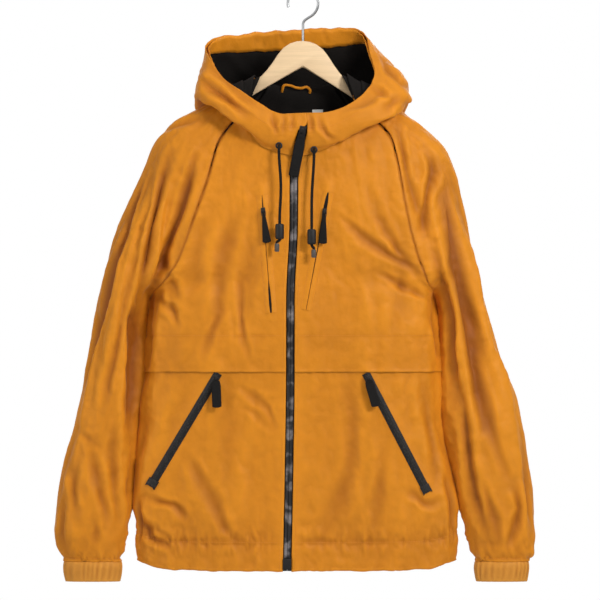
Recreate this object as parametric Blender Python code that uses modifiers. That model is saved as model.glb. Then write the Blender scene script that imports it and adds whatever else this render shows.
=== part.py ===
"""A hooded windbreaker hanging, zipped up, on a flat wooden hanger.

Sizes and places are in millimetres, +Z up, with the front facing -Y.  The origin is where a
rail carries the hanger's hook.  Right and left are the wearer's, so the right side is at -X.

Each cloth piece is a wall: a grid of points worked out from sections (tables below), with a
second grid one cloth thickness behind it.  Pieces that are sewn together share the points of
their seam and stand a seam gap apart.
"""

import math

import bpy
import bmesh
import numpy as np
from mathutils import Matrix, Vector
from mathutils.bvhtree import BVHTree

MM = 0.001
RIGHT, LEFT = "right", "left"
SIDES = (RIGHT, LEFT)
SIGN = {RIGHT: -1.0, LEFT: 1.0}

# Cloth.
SHELL = 1.6  # thickness of the shell fabric with its coating and seams
LINING = 1.0  # thickness of the mesh lining
SEAM_GAP = 0.32  # between pieces that are sewn together
LAYER_GAP = 0.5  # between pieces that lie on each other
KEY_SHIFT = 0.00317  # keeps the rounded place of a shared point the same in every panel
HEM_FOLD = 3.0  # thickness where the hem is turned up round its drawcord

# Hanger: its edges seen from the front, by distance from the middle, before it tilts.
WOOD_THICK = 12.0
WOOD_ROUND = 2.5
WOOD_TILT = 0.03  # the jacket hangs a little lower on its left
HANGER_EDGE = (  # distance, height of the upper edge
    (0, -78), (10, -78.8), (20, -82.5), (30, -89.5), (38, -99.5), (46, -112), (54, -123),
    (62, -131.8), (70, -138.5), (90, -149.5), (110, -160), (130, -171), (150, -183.5),
    (171, -198.5), (180, -206), (188, -214), (196, -224), (201, -234), (200, -239), (195, -239.5),
)
HANGER_UNDER = ((186, -232), (150, -209), (100, -177), (62, -153), (0, -117))
HOOK_WIRE = 3.8
HOOK_RADIUS = 22.9  # of the wire's centre line
HOOK_TURN = -48  # degrees: where the arc bends back to the stem
HOOK_STEM = (-52, -92)  # the straight part, down into the wood

# Front zip.
ZIP_HALF = 6.6  # half the width of black tape that shows
ZIP_TOP, COIL_END, BOX_MIDDLE = 209.0, 855.0, 864.5  # drops below the rail
CHAIN_HALF = 2.6
TAPE_THICK = 0.9
HEM_BOTTOM = -878.0
CASING_TOP = -832.0  # stitch line of the hem's drawcord casing

# Front yoke flap.
FRONT_ROUND, BACK_ROUND = 4.4, 3.8  # the higher, the flatter the panel and the sharper its side
FLAP_LIFT = 2.3  # the upper front ends in a loose flap that lies over the lower front

# How finely each piece is divided: shares of the width, stations and drops below the rail.
FRONT_SHARES = (0, 0.1, 0.24, 0.38, 0.52, 0.65, 0.77, 0.87, 0.945, 1)
BACK_SHARES = (0, 0.15, 0.31, 0.46, 0.6, 0.73, 0.84, 0.93, 1)
SLEEVE_COLS = 8
TOP_STATIONS = (0, 1, 2, 3, 4, 5, 6, 7, 8, 9, 10)
SLEEVE_STATIONS = TOP_STATIONS + (11, 12, 13, 14, 15, 16, 17, 18, 19)
YOKE_DROPS = (493, 523, 549, 576)
LOW_DROPS = (526, 552, 578, 610, 645, 680, 720, 760, 800, 832, 853, 878)
BACK_DROPS = (493, 526, 552, 578, 610, 645, 680, 720, 760, 800, 832, 853, 878)
HOOD_HALF = (0, 0.04, 0.08, 0.115, 0.15, 0.185, 0.22, 0.25, 0.28, 0.31, 0.337, 0.36, 0.385,
             0.41, 0.44, 0.47, 0.5)


def smooth_curve(at, values):
    """A function through the values, with slopes that never overshoot them."""
    at, values = np.asarray(at, float), np.asarray(values, float)
    step = np.diff(at)
    rise = np.diff(values) / step
    slope = np.empty_like(values)
    slope[0], slope[-1] = rise[0], rise[-1]
    for i in range(1, len(at) - 1):
        before, after = rise[i - 1], rise[i]
        if before * after <= 0:
            slope[i] = 0.0
        else:
            w1, w2 = 2 * step[i] + step[i - 1], step[i] + 2 * step[i - 1]
            slope[i] = (w1 + w2) / (w1 / before + w2 / after)

    def value(x):
        x = min(max(x, at[0]), at[-1])
        i = min(int(np.searchsorted(at, x, side="right")) - 1, len(step) - 1)
        t = (x - at[i]) / step[i]
        h00, h10 = 2 * t**3 - 3 * t**2 + 1, t**3 - 2 * t**2 + t
        h01, h11 = -2 * t**3 + 3 * t**2, t**3 - t**2
        return (
            h00 * values[i]
            + h10 * step[i] * slope[i]
            + h01 * values[i + 1]
            + h11 * step[i] * slope[i + 1]
        )

    return value


class Sections:
    """A table with one row for each section; every column becomes a smooth curve along the first."""

    def __init__(self, names, rows):
        columns = list(zip(*rows))
        self.curves = {
            name: smooth_curve(columns[0], column) for name, column in zip(names, columns)
        }

    def at(self, where, *names):
        found = [self.curves[name](where) for name in names]
        return found[0] if len(names) == 1 else found


def unit(v):
    return v / max(np.linalg.norm(v), 1e-9)


# ---------------------------------------------------------------- tables

# A raglan sleeve, by station from the neck (0) over the shoulder (4) and underarm (10) to the cuff
# seam (19).  over: the overarm seam.  front and back: the raglan seams, and below station 10
# the underarm seam, where both meet.
UNDERARM, CUFF_SEAM = 10.0, 19.0
SLEEVE_COLUMNS = ("station", "over_x", "over_z", "front_x", "front_z", "back_x", "back_z")
SLEEVE = {
    RIGHT: Sections(SLEEVE_COLUMNS, (
        (0, -66, -130.2, -82, -176, -58, -142),
        (2, -138, -168.0, -126, -228, -93, -200),
        (4, -203, -206.0, -144, -288, -121, -265),
        (5, -227, -236.0, -156, -322, -136, -300),
        (6, -240, -268.0, -168, -355, -152, -335),
        (8, -272, -340.0, -196, -423, -190, -408),
        (9, -289, -384.0, -213, -446, -211, -441),
        (10, -304, -436.0, -231, -463, -231, -463),
        (12, -325, -553.0, -238, -576, -238, -576),
        (14, -346, -657.0, -248, -668, -248, -668),
        (16, -370, -755.0, -257, -765, -257, -765),
        (18, -375, -832.0, -265, -838, -265, -838),
        (19, -363, -861.0, -270, -861, -270, -861),
    )),
    LEFT: Sections(SLEEVE_COLUMNS, (
        (0, 60, -127.4, 78, -173, 52, -142),
        (2, 128, -169.0, 131, -222, 86, -200),
        (4, 181, -206.5, 147, -284, 115, -265),
        (5, 212, -236.0, 153, -317, 128, -300),
        (6, 228, -268.0, 160, -350, 143, -335),
        (8, 245, -340.0, 176, -410, 172, -405),
        (9, 256, -388.0, 188, -441, 186, -438),
        (10, 267, -440.0, 199.4, -463, 199.4, -463),
        (12, 299, -556.0, 208, -576, 208, -576),
        (13, 321, -606.0, 207, -622, 207, -622),
        (14, 332, -657.0, 210.5, -668, 210.5, -668),
        (15, 340, -708.0, 222, -716, 222, -716),
        (16, 347, -758.0, 234, -765, 234, -765),
        (18, 351, -838.0, 247, -838, 247, -838),
        (19, 343, -861.0, 256, -861, 256, -861),
    )),
}
# How deep the sleeve is in front of and behind its middle, and the angle at which its section
# starts: -90 is a closed tube, 0 is the widest point.
SLEEVE_DEPTH = Sections(
    ("station", "middle_y", "front", "back", "front_turn", "back_turn"), (
        (0, 0, 30, 20, 0, 0),
        (2, 0, 42, 32, 0, 0),
        (4, 1, 53, 42, 0, 0),
        (6, 2, 58, 48, -4, -4),
        (8, 3, 58, 50, -18, -20),
        (9, 4, 56, 50, -42, -44),
        (10, 5, 54, 50, -90, -90),
        (12, 6, 50, 46, -90, -90),
        (14, 5, 47, 44, -90, -90),
        (16, 4, 43, 41, -90, -90),
        (18, 3, 33, 32, -90, -90),
        (19, 3, 25, 25, -90, -90),
    ))

# The body above the underarm, by the same stations: height of each row at the centre front
# and centre back, depth at the centre back, and how far the rows scoop round the neck.
BODY_TOP = Sections(
    ("station", "front_z", "back_z", "back_y", "scoop_x", "scoop_z"), (
        (0, -250, -156, 30, 21, -15),
        (2, -284, -210, 38, 9, -7),
        (4, -326, -275, 44, 2, -2),
        (6, -374, -342, 48, 0, 0),
        (8, -420, -408, 51, 0, 0),
        (10, -463, -463, 52, 0, 0),
    ))
# The body below the underarm, by height: its side edges, its depth, and how far its hem
# rises at the sides.
BODY_LOW = Sections(
    ("drop", "right_x", "left_x", "side_y", "back_y"), (
        (463, -230.0, 198.2, 5, 52),
        (493, -231.5, 200.0, 3, 51),
        (523, -232.5, 202.0, 1, 50),
        (578, -233.0, 203.5, -1, 47),
        (618, -239.0, 203.0, -2, 45),
        (668, -246.0, 208.0, -2, 43),
        (708, -250.0, 218.0, -2, 41),
        (765, -254.5, 231.0, -2, 39),
        (832, -256.0, 236.5, -1, 37),
        (878, -251.0, 232.0, 0, 36),
    ))
HEM_RISE = Sections(("share", "rise"), ((0, 0), (0.5, 0.5), (0.75, 2), (0.9, 7), (1, 17)))
# Centre line of the front zip, by drop below the rail.
ZIP_LINE = Sections(
    ("drop", "x", "y"), (
        (187, 4.0, -70.0),
        (209, 0.5, -71.0),
        (225, -3.5, -68.5),
        (250, -9.0, -61.0),
        (285, -13.5, -61.5),
        (355, -14.0, -62.5),
        (468, -18.8, -61.0),
        (576, -19.0, -54.5),
        (723, -21.0, -44.5),
        (878, -24.0, -36.0),
    ))

# The hood, by share of the way round the neck seam from the right front over the back to the
# left front: the low fold that lies on the shoulders and hangs behind, the side, and the rim.
HOOD = Sections(
    ("share", "fold_x", "fold_y", "fold_z", "side_x", "side_y", "side_z", "rim_x", "rim_y", "rim_z"), (
        (0.00, -13, -66, -236, -7, -72, -212, 3.4, -70, -188),
        (0.08, -50, -69, -232, -43, -75, -211, -33, -69, -189),
        (0.15, -85, -68, -212, -80, -72, -191, -62, -63, -175),
        (0.22, -119, -60, -195, -121, -57, -171, -92, -51, -154),
        (0.28, -145, -38, -186, -149, -37, -152, -119, -33, -134),
        (0.337, -156, -6, -171, -158, -7, -137, -141, -6, -104),
        (0.385, -154, 42, -189, -156, 40, -140, -147, 22, -88),
        (0.44, -104, 76, -278, -124, 84, -165, -126, 52, -71),
        (0.50, -4, 84, -318, -6, 104, -190, -12, 66, -60.5),
        (0.56, 98, 76, -278, 114, 86, -165, 66, 62, -57.5),
        (0.615, 150, 44, -184, 144, 42, -130, 94, 42, -68),
        (0.663, 158, -4, -168, 149, -4, -128, 101, 7, -96),
        (0.72, 147, -36, -184, 147, -36, -149, 108, -21, -126),
        (0.78, 124, -58, -198, 123, -58, -170, 94, -44, -155),
        (0.85, 86, -68, -214, 79, -73, -192, 66, -60, -176),
        (0.92, 42, -69, -233, 39, -75, -212, 34, -68, -187),
        (1.00, 1, -66, -236, 7, -72, -212, 4.6, -70, -188),
    ))
HOOD_LAP = 0.12  # in stations: how far the hood reaches below the edge of the body
FACING_RISE = 0.89  # the rim's inner facing starts here, and the lining ends

# The largest folds, as lines seen from the front, with their depth (a ridge is below 0) and
# half width.  face: -1 is the front of the jacket, +1 the back.
FOLD_COLUMNS = ("face", "x0", "z0", "x1", "z1", "depth", "half")
FOLDS = (
    # right sleeve
    (-1, -196, -262, -232, -560, 9, 15),
    (-1, -228, -250, -272, -470, 8, 13),
    (-1, -176, -262, -214, -430, 8, 12),
    (-1, -254, -430, -288, -700, -6, 20),
    (-1, -246, -480, -246, -650, 15, 17),
    (-1, -296, -690, -272, -840, 7, 16),
    (1, -206, -262, -236, -560, 8, 17),
    (1, -236, -300, -276, -560, 7, 15),
    (1, -318, -640, -288, -830, 7, 17),
    # left sleeve
    (-1, 166, -225, 188, -420, 9, 14),
    (-1, 196, -250, 214, -430, 8, 12),
    (-1, 238, -300, 274, -640, 13, 16),
    (-1, 214, -440, 226, -640, 10, 14),
    (-1, 290, -690, 318, -850, 7, 16),
    (1, 186, -262, 214, -560, 8, 17),
    (1, 224, -330, 262, -640, 8, 16),
    (1, 318, -640, 280, -830, 7, 17),
    # body, front and back
    (-1, -190, -700, -120, -850, -4, 24),
    (-1, -70, -600, -64, -800, 5, 24),
    (-1, 72, -620, 46, -860, 5, 22),
    (-1, 44, -330, 60, -520, 5, 20),
    (-1, -90, -330, -104, -520, 4, 20),
    (1, -96, -330, -110, -820, 6, 26),
    (1, 88, -340, 96, -800, 6, 26),
    (1, -6, -400, -10, -850, -5, 30),
)


# ---------------------------------------------------------------- surfaces


def fold_push(point, face):
    """How far the largest folds move a point of that face along Y, towards the inside."""
    push = 0.0
    for row in FOLDS:
        fold = dict(zip(FOLD_COLUMNS, row))
        if fold["face"] != face:
            continue
        start = np.array((fold["x0"], fold["z0"]))
        run = np.array((fold["x1"], fold["z1"])) - start
        length = np.linalg.norm(run)
        along = np.dot(point[[0, 2]] - start, run) / length**2
        across = np.linalg.norm(point[[0, 2]] - start - along * run)
        fade = math.sin(math.pi * min(max(along, 0.0), 1.0)) ** 0.6
        push += fold["depth"] * fade * math.exp(-((across / fold["half"]) ** 2))
    return -face * push


def with_folds(point, face, share=1.0):
    return point + np.array((0.0, share * fold_push(point, face), 0.0))


def sleeve_point(side, station, turn_share, face, folded=True):
    """A point of a sleeve: turn_share 0 is the raglan or underarm seam, 1 the overarm seam."""
    table = SLEEVE[side]
    seam = "front" if face < 0 else "back"
    over_x, over_z = table.at(station, "over_x", "over_z")
    place = seam if station < UNDERARM else "front"
    seam_x, seam_z = table.at(station, place + "_x", place + "_z")
    middle, deep, start = SLEEVE_DEPTH.at(station, "middle_y", seam, seam + "_turn")
    first = math.radians(start)
    turn = first + (math.pi / 2 - first) * turn_share
    along = (math.sin(turn) - math.sin(first)) / (1 - math.sin(first))
    point = np.array((
        seam_x + (over_x - seam_x) * along,
        middle + face * deep * max(math.cos(turn), 0.0) ** 0.9,
        seam_z + (over_z - seam_z) * along,
    ))
    if not folded:
        return point
    if station >= UNDERARM:
        return with_folds(point, face, math.sin(math.pi * turn_share) ** 0.5)
    neck = min(station / 3, 1.0)
    return with_folds(point, face, (1 - turn_share**6) * neck)


def zip_point(drop, offset=0.0, back=0.0):
    """A point beside the zip's centre line, on the outer surface of the front."""
    x, y = ZIP_LINE.at(drop, "x", "y")
    return np.array((x + offset, y + back, -drop))


def rounded(share, roundness):
    """Falls from 1 at the centre to 0 at the side: flat first, then round."""
    return max(1 - share**roundness, 0.0) ** (1.6 / roundness)


def front_point(side, where, share):
    """A point of the front.  where: a station above the underarm, a drop below it.
    share: 0 is the zip, 1 the raglan or side seam."""
    sign = SIGN[side]
    if where < UNDERARM:
        top_z, scoop_x, scoop_z = BODY_TOP.at(where, "front_z", "scoop_x", "scoop_z")
        start = zip_point(-top_z, sign * ZIP_HALF)
        end = sleeve_point(side, where, 0.0, -1, folded=False)
        roundness, edge = 2.2, min(where / 3, 1.0)
    else:
        x, y = BODY_LOW.at(where, side + "_x", "side_y")
        start, end = zip_point(where, sign * ZIP_HALF), np.array((x, y, -where))
        scoop_x = scoop_z = 0.0
        roundness, edge = FRONT_ROUND, 1 - share**5
    point = start + (end - start) * share
    point += np.array((sign * scoop_x, 0.0, scoop_z)) * math.sin(math.pi * share) ** 1.1
    point[1] = end[1] + (start[1] - end[1]) * rounded(share, roundness)
    return hem_lift(with_folds(point, -1, edge * min(share * 6, 1.0)), share)


def back_point(where, share):
    """A point of the back: share -1 is the right seam, 0 the centre back, 1 the left seam."""
    side = RIGHT if share < 0 else LEFT
    if where < UNDERARM:
        centre_z, centre_y = BODY_TOP.at(where, "back_z", "back_y")
        ends = {s: sleeve_point(s, where, 0.0, 1, folded=False) for s in SIDES}
        roundness, edge = 2.2, min(where / 3, 1.0)
    else:
        centre_z, centre_y = -where, BODY_LOW.at(where, "back_y")
        side_y = BODY_LOW.at(where, "side_y")
        ends = {s: np.array((BODY_LOW.at(where, s + "_x"), side_y, -where)) for s in SIDES}
        roundness, edge = BACK_ROUND, 1 - abs(share) ** 5
    middle = (ends[RIGHT] + ends[LEFT]) / 2
    across = abs(share)
    point = middle + (ends[side] - middle) * across
    point[2] = ends[side][2] + (centre_z - ends[side][2]) * (1 - across**2)
    point[1] = ends[side][1] + (centre_y - ends[side][1]) * rounded(across, roundness)
    return hem_lift(with_folds(point, 1, edge), across)


def hem_lift(point, share):
    """The lowest rows curve up towards the sides."""
    low = min(max((-point[2] - 760.0) / (-HEM_BOTTOM - 760.0), 0.0), 1.0)
    return point + np.array((0.0, 0.0, HEM_RISE.at(share, "rise") * low**2))


def neck_line(station):
    """The line round the neck at that station, from the right front round the back."""
    turns = np.linspace(0, 1, SLEEVE_COLS + 1)
    line = [front_point(RIGHT, station, s) for s in np.linspace(0, 1, 15)]
    line += [sleeve_point(RIGHT, station, s, -1) for s in turns[1:]]
    line += [sleeve_point(RIGHT, station, s, 1) for s in turns[-2::-1]]
    line += [back_point(station, s) for s in np.linspace(-1, 1, 21)[1:]]
    line += [sleeve_point(LEFT, station, s, 1) for s in turns[1:]]
    line += [sleeve_point(LEFT, station, s, -1) for s in turns[-2::-1]]
    line += [front_point(LEFT, station, s) for s in np.linspace(1, 0, 15)[1:]]
    return np.array(line)


class Line:
    """A line of points that is asked for by the share of its length."""

    def __init__(self, points):
        self.points = np.asarray(points, float)
        steps = np.linalg.norm(np.diff(self.points, axis=0), axis=1)
        self.reach = np.concatenate([[0], np.cumsum(steps)])

    def at(self, share):
        where = share * self.reach[-1]
        return np.array([np.interp(where, self.reach, self.points[:, k]) for k in range(3)])


def spline_through(knots, share):
    """A point on the smooth curve through four knots."""
    steps = [np.linalg.norm(b - a) ** 0.5 for a, b in zip(knots, knots[1:])]
    at = np.concatenate([[0], np.cumsum(steps)])
    slopes = [(knots[1] - knots[0]) / steps[0]]
    for i in (1, 2):
        slopes.append((knots[i + 1] - knots[i - 1]) / (at[i + 1] - at[i - 1]))
    slopes.append((knots[3] - knots[2]) / steps[2])
    where = share * at[-1]
    i = min(int(np.searchsorted(at, where, side="right")) - 1, 2)
    t, step = (where - at[i]) / steps[i], steps[i]
    return (
        (2 * t**3 - 3 * t**2 + 1) * knots[i]
        + (t**3 - 2 * t**2 + t) * step * slopes[i]
        + (3 * t**2 - 2 * t**3) * knots[i + 1]
        + (t**3 - t**2) * step * slopes[i + 1]
    )


def hood_point(neck, share, rise):
    """A point of the hood: rise 0 is its seam on the neck line, 1 the rim."""
    knots = [neck.at(share)] + [
        np.array(HOOD.at(share, name + "_x", name + "_y", name + "_z"))
        for name in ("fold", "side", "rim")
    ]
    even = min(max((0.32 - min(share, 1 - share)) / 0.1, 0.0), 1.0)
    if even:  # rows at equal steps where the hood is low
        steps = np.linspace(0, 1, 40)
        length = Line([spline_through(knots, t) for t in steps]).reach
        rise += even * (np.interp(rise * length[-1], length, steps) - rise)
    return spline_through(knots, rise)


# ---------------------------------------------------------------- cloth solids


def grid(rows, columns, point):
    return np.array([[point(r, c) for c in columns] for r in rows])


class Cloth:
    """Panels that are sewn together.  A point that several panels share gets one normal, so
    that the walls of two panels meet face to face along their seam."""

    def __init__(self):
        self.panels = {}

    def add(self, name, points, flip=False, seams=""):
        self.panels[name] = (points, -1.0 if flip else 1.0, seams)

    @staticmethod
    def key(point):
        return tuple(np.round(point + KEY_SHIFT, 2))

    def normals(self):
        total = {}
        for points, sign, _ in self.panels.values():
            for i in range(points.shape[0] - 1):
                for j in range(points.shape[1] - 1):
                    a, b = points[i, j], points[i, j + 1]
                    c, d = points[i + 1, j + 1], points[i + 1, j]
                    face = sign * np.cross(c - a, d - b)
                    for corner in (a, b, c, d):
                        key = self.key(corner)
                        total[key] = total.get(key, 0.0) + face
        return {key: unit(face) for key, face in total.items()}

    def layers(self, depths):
        """For each panel its grids at two depths behind the surface.  depths(name, i, j)."""
        normals = self.normals()
        made = {}
        for name, (points, sign, seams) in self.panels.items():
            pair = []
            for layer in (0, 1):
                moved = np.array([
                    [
                        point - normals[self.key(point)] * depths(name, i, j)[layer]
                        for j, point in enumerate(row)
                    ]
                    for i, row in enumerate(points)
                ])
                pair.append(pull_in(moved, seams))
            made[name] = pair
        return made


def pull_in(points, seams):
    """Moves the edges that are sewn half a seam gap into the panel.
    seams: any of t, b, l, r for the first and last row and the first and last column."""
    moved = points.copy()
    edges = {
        "t": (moved[0], points[1]),
        "b": (moved[-1], points[-2]),
        "l": (moved[:, 0], points[:, 1]),
        "r": (moved[:, -1], points[:, -2]),
    }
    for seam in seams:
        edge, inside = edges[seam]
        step = inside - edge
        edge += step / np.linalg.norm(step, axis=-1, keepdims=True) * SEAM_GAP / 2
    return moved


def wall_faces(outer, inner, closed=False):
    """Points and triangles of the wall between two grids; closed joins its last column to
    the first."""
    rows, cols = outer.shape[:2]
    points = np.concatenate([outer.reshape(-1, 3), inner.reshape(-1, 3)])
    spans = cols if closed else cols - 1
    quads = []

    def at(layer, i, j):
        return layer * rows * cols + i * cols + j % cols

    for i in range(rows - 1):
        for j in range(spans):
            for layer in (0, 1):
                quads.append([at(layer, *p) for p in ((i, j), (i, j + 1), (i + 1, j + 1), (i + 1, j))])
    for i in (0, rows - 1):
        for j in range(spans):
            quads.append([at(0, i, j), at(0, i, j + 1), at(1, i, j + 1), at(1, i, j)])
    if not closed:
        for j in (0, cols - 1):
            for i in range(rows - 1):
                quads.append([at(0, i, j), at(0, i + 1, j), at(1, i + 1, j), at(1, i, j)])
    return points, [half for a, b, c, d in quads for half in ((a, b, c), (a, c, d))]


# ---------------------------------------------------------------- Blender objects


def collection(name):
    made = bpy.data.collections.new(name)
    bpy.context.scene.collection.children.link(made)
    return made


def material(name, colour, roughness, metallic=0.0):
    made = bpy.data.materials.new(name)
    made.use_nodes = True
    shader = made.node_tree.nodes["Principled BSDF"]
    shader.inputs["Base Color"].default_value = (*colour, 1.0)
    shader.inputs["Roughness"].default_value = roughness
    shader.inputs["Metallic"].default_value = metallic
    made.diffuse_color = (*colour, 1.0)
    return made


class Workshop:
    """Keeps the parts' collection and the cutters' collection."""

    def __init__(self, name):
        self.parts = collection(name)
        self.cutters = collection(name + "_cutters")
        self.materials = {}

    def add_material(self, name, colour, roughness, metallic=0.0):
        self.materials[name] = material(name, colour, roughness, metallic)

    def link(self, made, name, kind):
        made.name = made.data.name = name
        for other in list(made.users_collection):
            other.objects.unlink(made)
        self.parts.objects.link(made)
        made.data.materials.clear()
        made.data.materials.append(self.materials[kind])
        return made

    def mesh(self, name, kind, points, faces):
        """An object from points in millimetres; its faces are turned outwards."""
        mesh = bpy.data.meshes.new(name)
        mesh.from_pydata([tuple(p * MM) for p in np.asarray(points, float)], [], faces)
        work = bmesh.new()
        work.from_mesh(mesh)
        bmesh.ops.recalc_face_normals(work, faces=work.faces)
        work.to_mesh(mesh)
        work.free()
        return self.link(bpy.data.objects.new(name, mesh), name, kind)

    def wall(self, name, kind, outer, inner, closed=False):
        return self.mesh(name, kind, *wall_faces(outer, inner, closed))

    def box(self, name, kind, size, place=None, bevel=0.0):
        """A box of that size, its edges bevelled, moved by the matrix place (millimetres)."""
        bpy.ops.mesh.primitive_cube_add(size=1.0)
        made = self.link(bpy.context.object, name, kind)
        made.data.transform(Matrix.Diagonal((*[s * MM for s in size], 1.0)))
        self.put(made, place)
        if bevel:
            self.bevel(made, bevel)
        return made

    def tube(self, name, kind, points, diameter, cyclic=False, sides=2):
        """A round wire through the points."""
        curve = bpy.data.curves.new(name, "CURVE")
        curve.dimensions = "3D"
        curve.bevel_depth = diameter / 2 * MM
        curve.bevel_resolution = sides
        curve.resolution_u = 1
        curve.render_resolution_u = 0
        curve.use_fill_caps = not cyclic
        spline = curve.splines.new("POLY")
        spline.points.add(len(points) - 1)
        for slot, point in zip(spline.points, points):
            slot.co = (*[c * MM for c in point], 1.0)
        spline.use_cyclic_u = cyclic
        made = self.link(bpy.data.objects.new(name, curve), name, kind)
        if not cyclic:
            weld = made.modifiers.new("weld", "WELD")
            weld.merge_threshold = 0.00001
        return made

    @staticmethod
    def put(made, place):
        if place is not None:
            scaled = place.copy()
            scaled.translation = place.translation * MM
            made.data.transform(scaled)

    @staticmethod
    def bevel(made, width, segments=1, angle=30):
        tool = made.modifiers.new("bevel", "BEVEL")
        tool.width = width * MM
        tool.segments = segments
        tool.limit_method = "ANGLE"
        tool.angle_limit = math.radians(angle)
        tool.harden_normals = False

    def boolean(self, made, tool, operation):
        """Cuts or joins with the object tool, which goes to the cutters' collection."""
        self.parts.objects.unlink(tool)
        self.cutters.objects.link(tool)
        tool.hide_render = True
        tool.display_type = "WIRE"
        modifier = made.modifiers.new(operation.lower(), "BOOLEAN")
        modifier.operation = operation
        modifier.solver = "EXACT"
        modifier.object = tool


# ---------------------------------------------------------------- surfaces to build on


class Surface:
    """The faceted outer faces of cloth panels, to lay other pieces on."""

    def __init__(self, grids):
        points, faces = [], []
        for outer, sign in grids:
            base, (rows, cols) = len(points), outer.shape[:2]
            points += [tuple(p) for p in outer.reshape(-1, 3)]
            for i in range(rows - 1):
                for j in range(cols - 1):
                    a, b = base + i * cols + j, base + i * cols + j + 1
                    c, d = b + cols, a + cols
                    for face in ((a, b, c), (a, c, d)):
                        faces.append(face if sign > 0 else face[::-1])
        self.tree = BVHTree.FromPolygons(points, faces)

    def y_at(self, x, z, start=-400.0, way=1.0):
        """Where a line along Y meets the surface."""
        hit = self.tree.ray_cast((x, start, z), (0.0, way, 0.0))[0]
        return None if hit is None else hit[1]

    def proud_y(self, x, z, reach=4.0):
        """The foremost Y of the surface close to that place."""
        found = [
            self.y_at(x + dx, z + dz) for dx in (-reach, 0, reach) for dz in (-reach, 0, reach)
        ]
        return min(y for y in found if y is not None)

    def clear(self, point, clearance):
        """The point, moved outwards where it lies closer to the surface than that."""
        place, normal, _, distance = self.tree.find_nearest(tuple(point))
        offset, normal = np.array(point) - np.array(place), np.array(normal)
        height = float(np.dot(offset, normal))
        beside = distance > 0.5 and abs(height) < 0.8 * distance
        if beside or height >= clearance or height < -30:
            return point
        return point + normal * (clearance - height)


def strip(shop, name, kind, surface, start, end, profile, rows, level=False):
    """A strip that lies on the front from start to end (x, z); level gives it level ends.
    profile: for each point across, its offset, the gap under it and its thickness."""
    start, end = np.array(start, float), np.array(end, float)
    run = (end - start) / np.linalg.norm(end - start)
    across = np.array((-1 / run[1], 0.0)) if level else np.array((-run[1], run[0]))
    outer, inner = [], []
    for t in np.linspace(0, 1, rows):
        middle = start + (end - start) * t
        line = []
        for offset, gap, thick in profile:
            x, z = middle + across * offset
            y = surface.proud_y(x, z) - gap
            line.append(((x, y - thick, z), (x, y, z)))
        outer.append([pair[0] for pair in line])
        inner.append([pair[1] for pair in line])
    return shop.wall(name, kind, np.array(outer), np.array(inner))


def facing(point, down):
    """A place on the front: local Z points out of the front, local -Y along down."""
    down = Vector(down).normalized()
    out = Vector((0.0, -1.0, 0.0))
    out = (out - down * out.dot(down)).normalized()
    side = (-down).cross(out)
    turned = Matrix((side, -down, out)).transposed().to_4x4()
    turned.translation = Vector(point)
    return turned


# ---------------------------------------------------------------- pieces


def hanger_height(x, table):
    distances, heights = zip(*table)
    return float(np.interp(abs(x), distances, heights))


def build_hanger(shop):
    """A flat wooden hanger with a round arch, and its steel hook."""
    edge = [(x, z) for x, z in HANGER_EDGE]
    under = [(x, z) for x, z in HANGER_UNDER]
    half = edge + under[:-1]
    outline = half + [under[-1]] + [(-x, z) for x, z in reversed(half[1:])]
    count = len(outline)
    depth = WOOD_THICK / 2
    points = [(x, y, z - WOOD_TILT * x) for y in (-depth, depth) for x, z in outline]
    faces = [tuple(range(count)), tuple(range(2 * count - 1, count - 1, -1))]
    faces += [(i, (i + 1) % count, count + (i + 1) % count, count + i) for i in range(count)]
    wood = shop.mesh("hanger_wood", "wood", points, faces)
    bpy.ops.mesh.primitive_cylinder_add(
        radius=(HOOK_WIRE / 2 + 0.25) * MM, depth=40 * MM, vertices=16,
        location=(0, 0, (HOOK_STEM[1] - 0.5 + 20) * MM))
    bore = shop.link(bpy.context.object, "hook_bore", "steel")
    bore.data.transform(Matrix.Translation(bore.location))
    bore.location = (0, 0, 0)
    shop.bevel(wood, WOOD_ROUND, segments=2, angle=50)
    shop.boolean(wood, bore, "DIFFERENCE")

    centre = HOOK_WIRE / 2 - HOOK_RADIUS
    arc = [
        (HOOK_RADIUS * math.cos(a), 0.0, centre + HOOK_RADIUS * math.sin(a))
        for a in np.radians(np.linspace(196, HOOK_TURN, 24))
    ]
    end = np.array(arc[-1])
    turn = math.radians(HOOK_TURN)
    leave = np.array((math.sin(turn), 0.0, -math.cos(turn)))
    stem = np.array((0.0, 0.0, HOOK_STEM[0]))
    bend = []
    for t in np.linspace(0, 1, 8)[1:]:
        pull = np.linalg.norm(stem - end) * 0.9
        h00, h10 = 2 * t**3 - 3 * t**2 + 1, t**3 - 2 * t**2 + t
        h01, h11 = 3 * t**2 - 2 * t**3, t**3 - t**2
        down = np.array((0.0, 0.0, -1.0))
        bend.append(tuple(h00 * end + h10 * pull * leave + h01 * stem + h11 * pull * down))
    shop.tube("hook_wire", "steel", arc + bend + [(0.0, 0.0, HOOK_STEM[1])], HOOK_WIRE)


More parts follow.
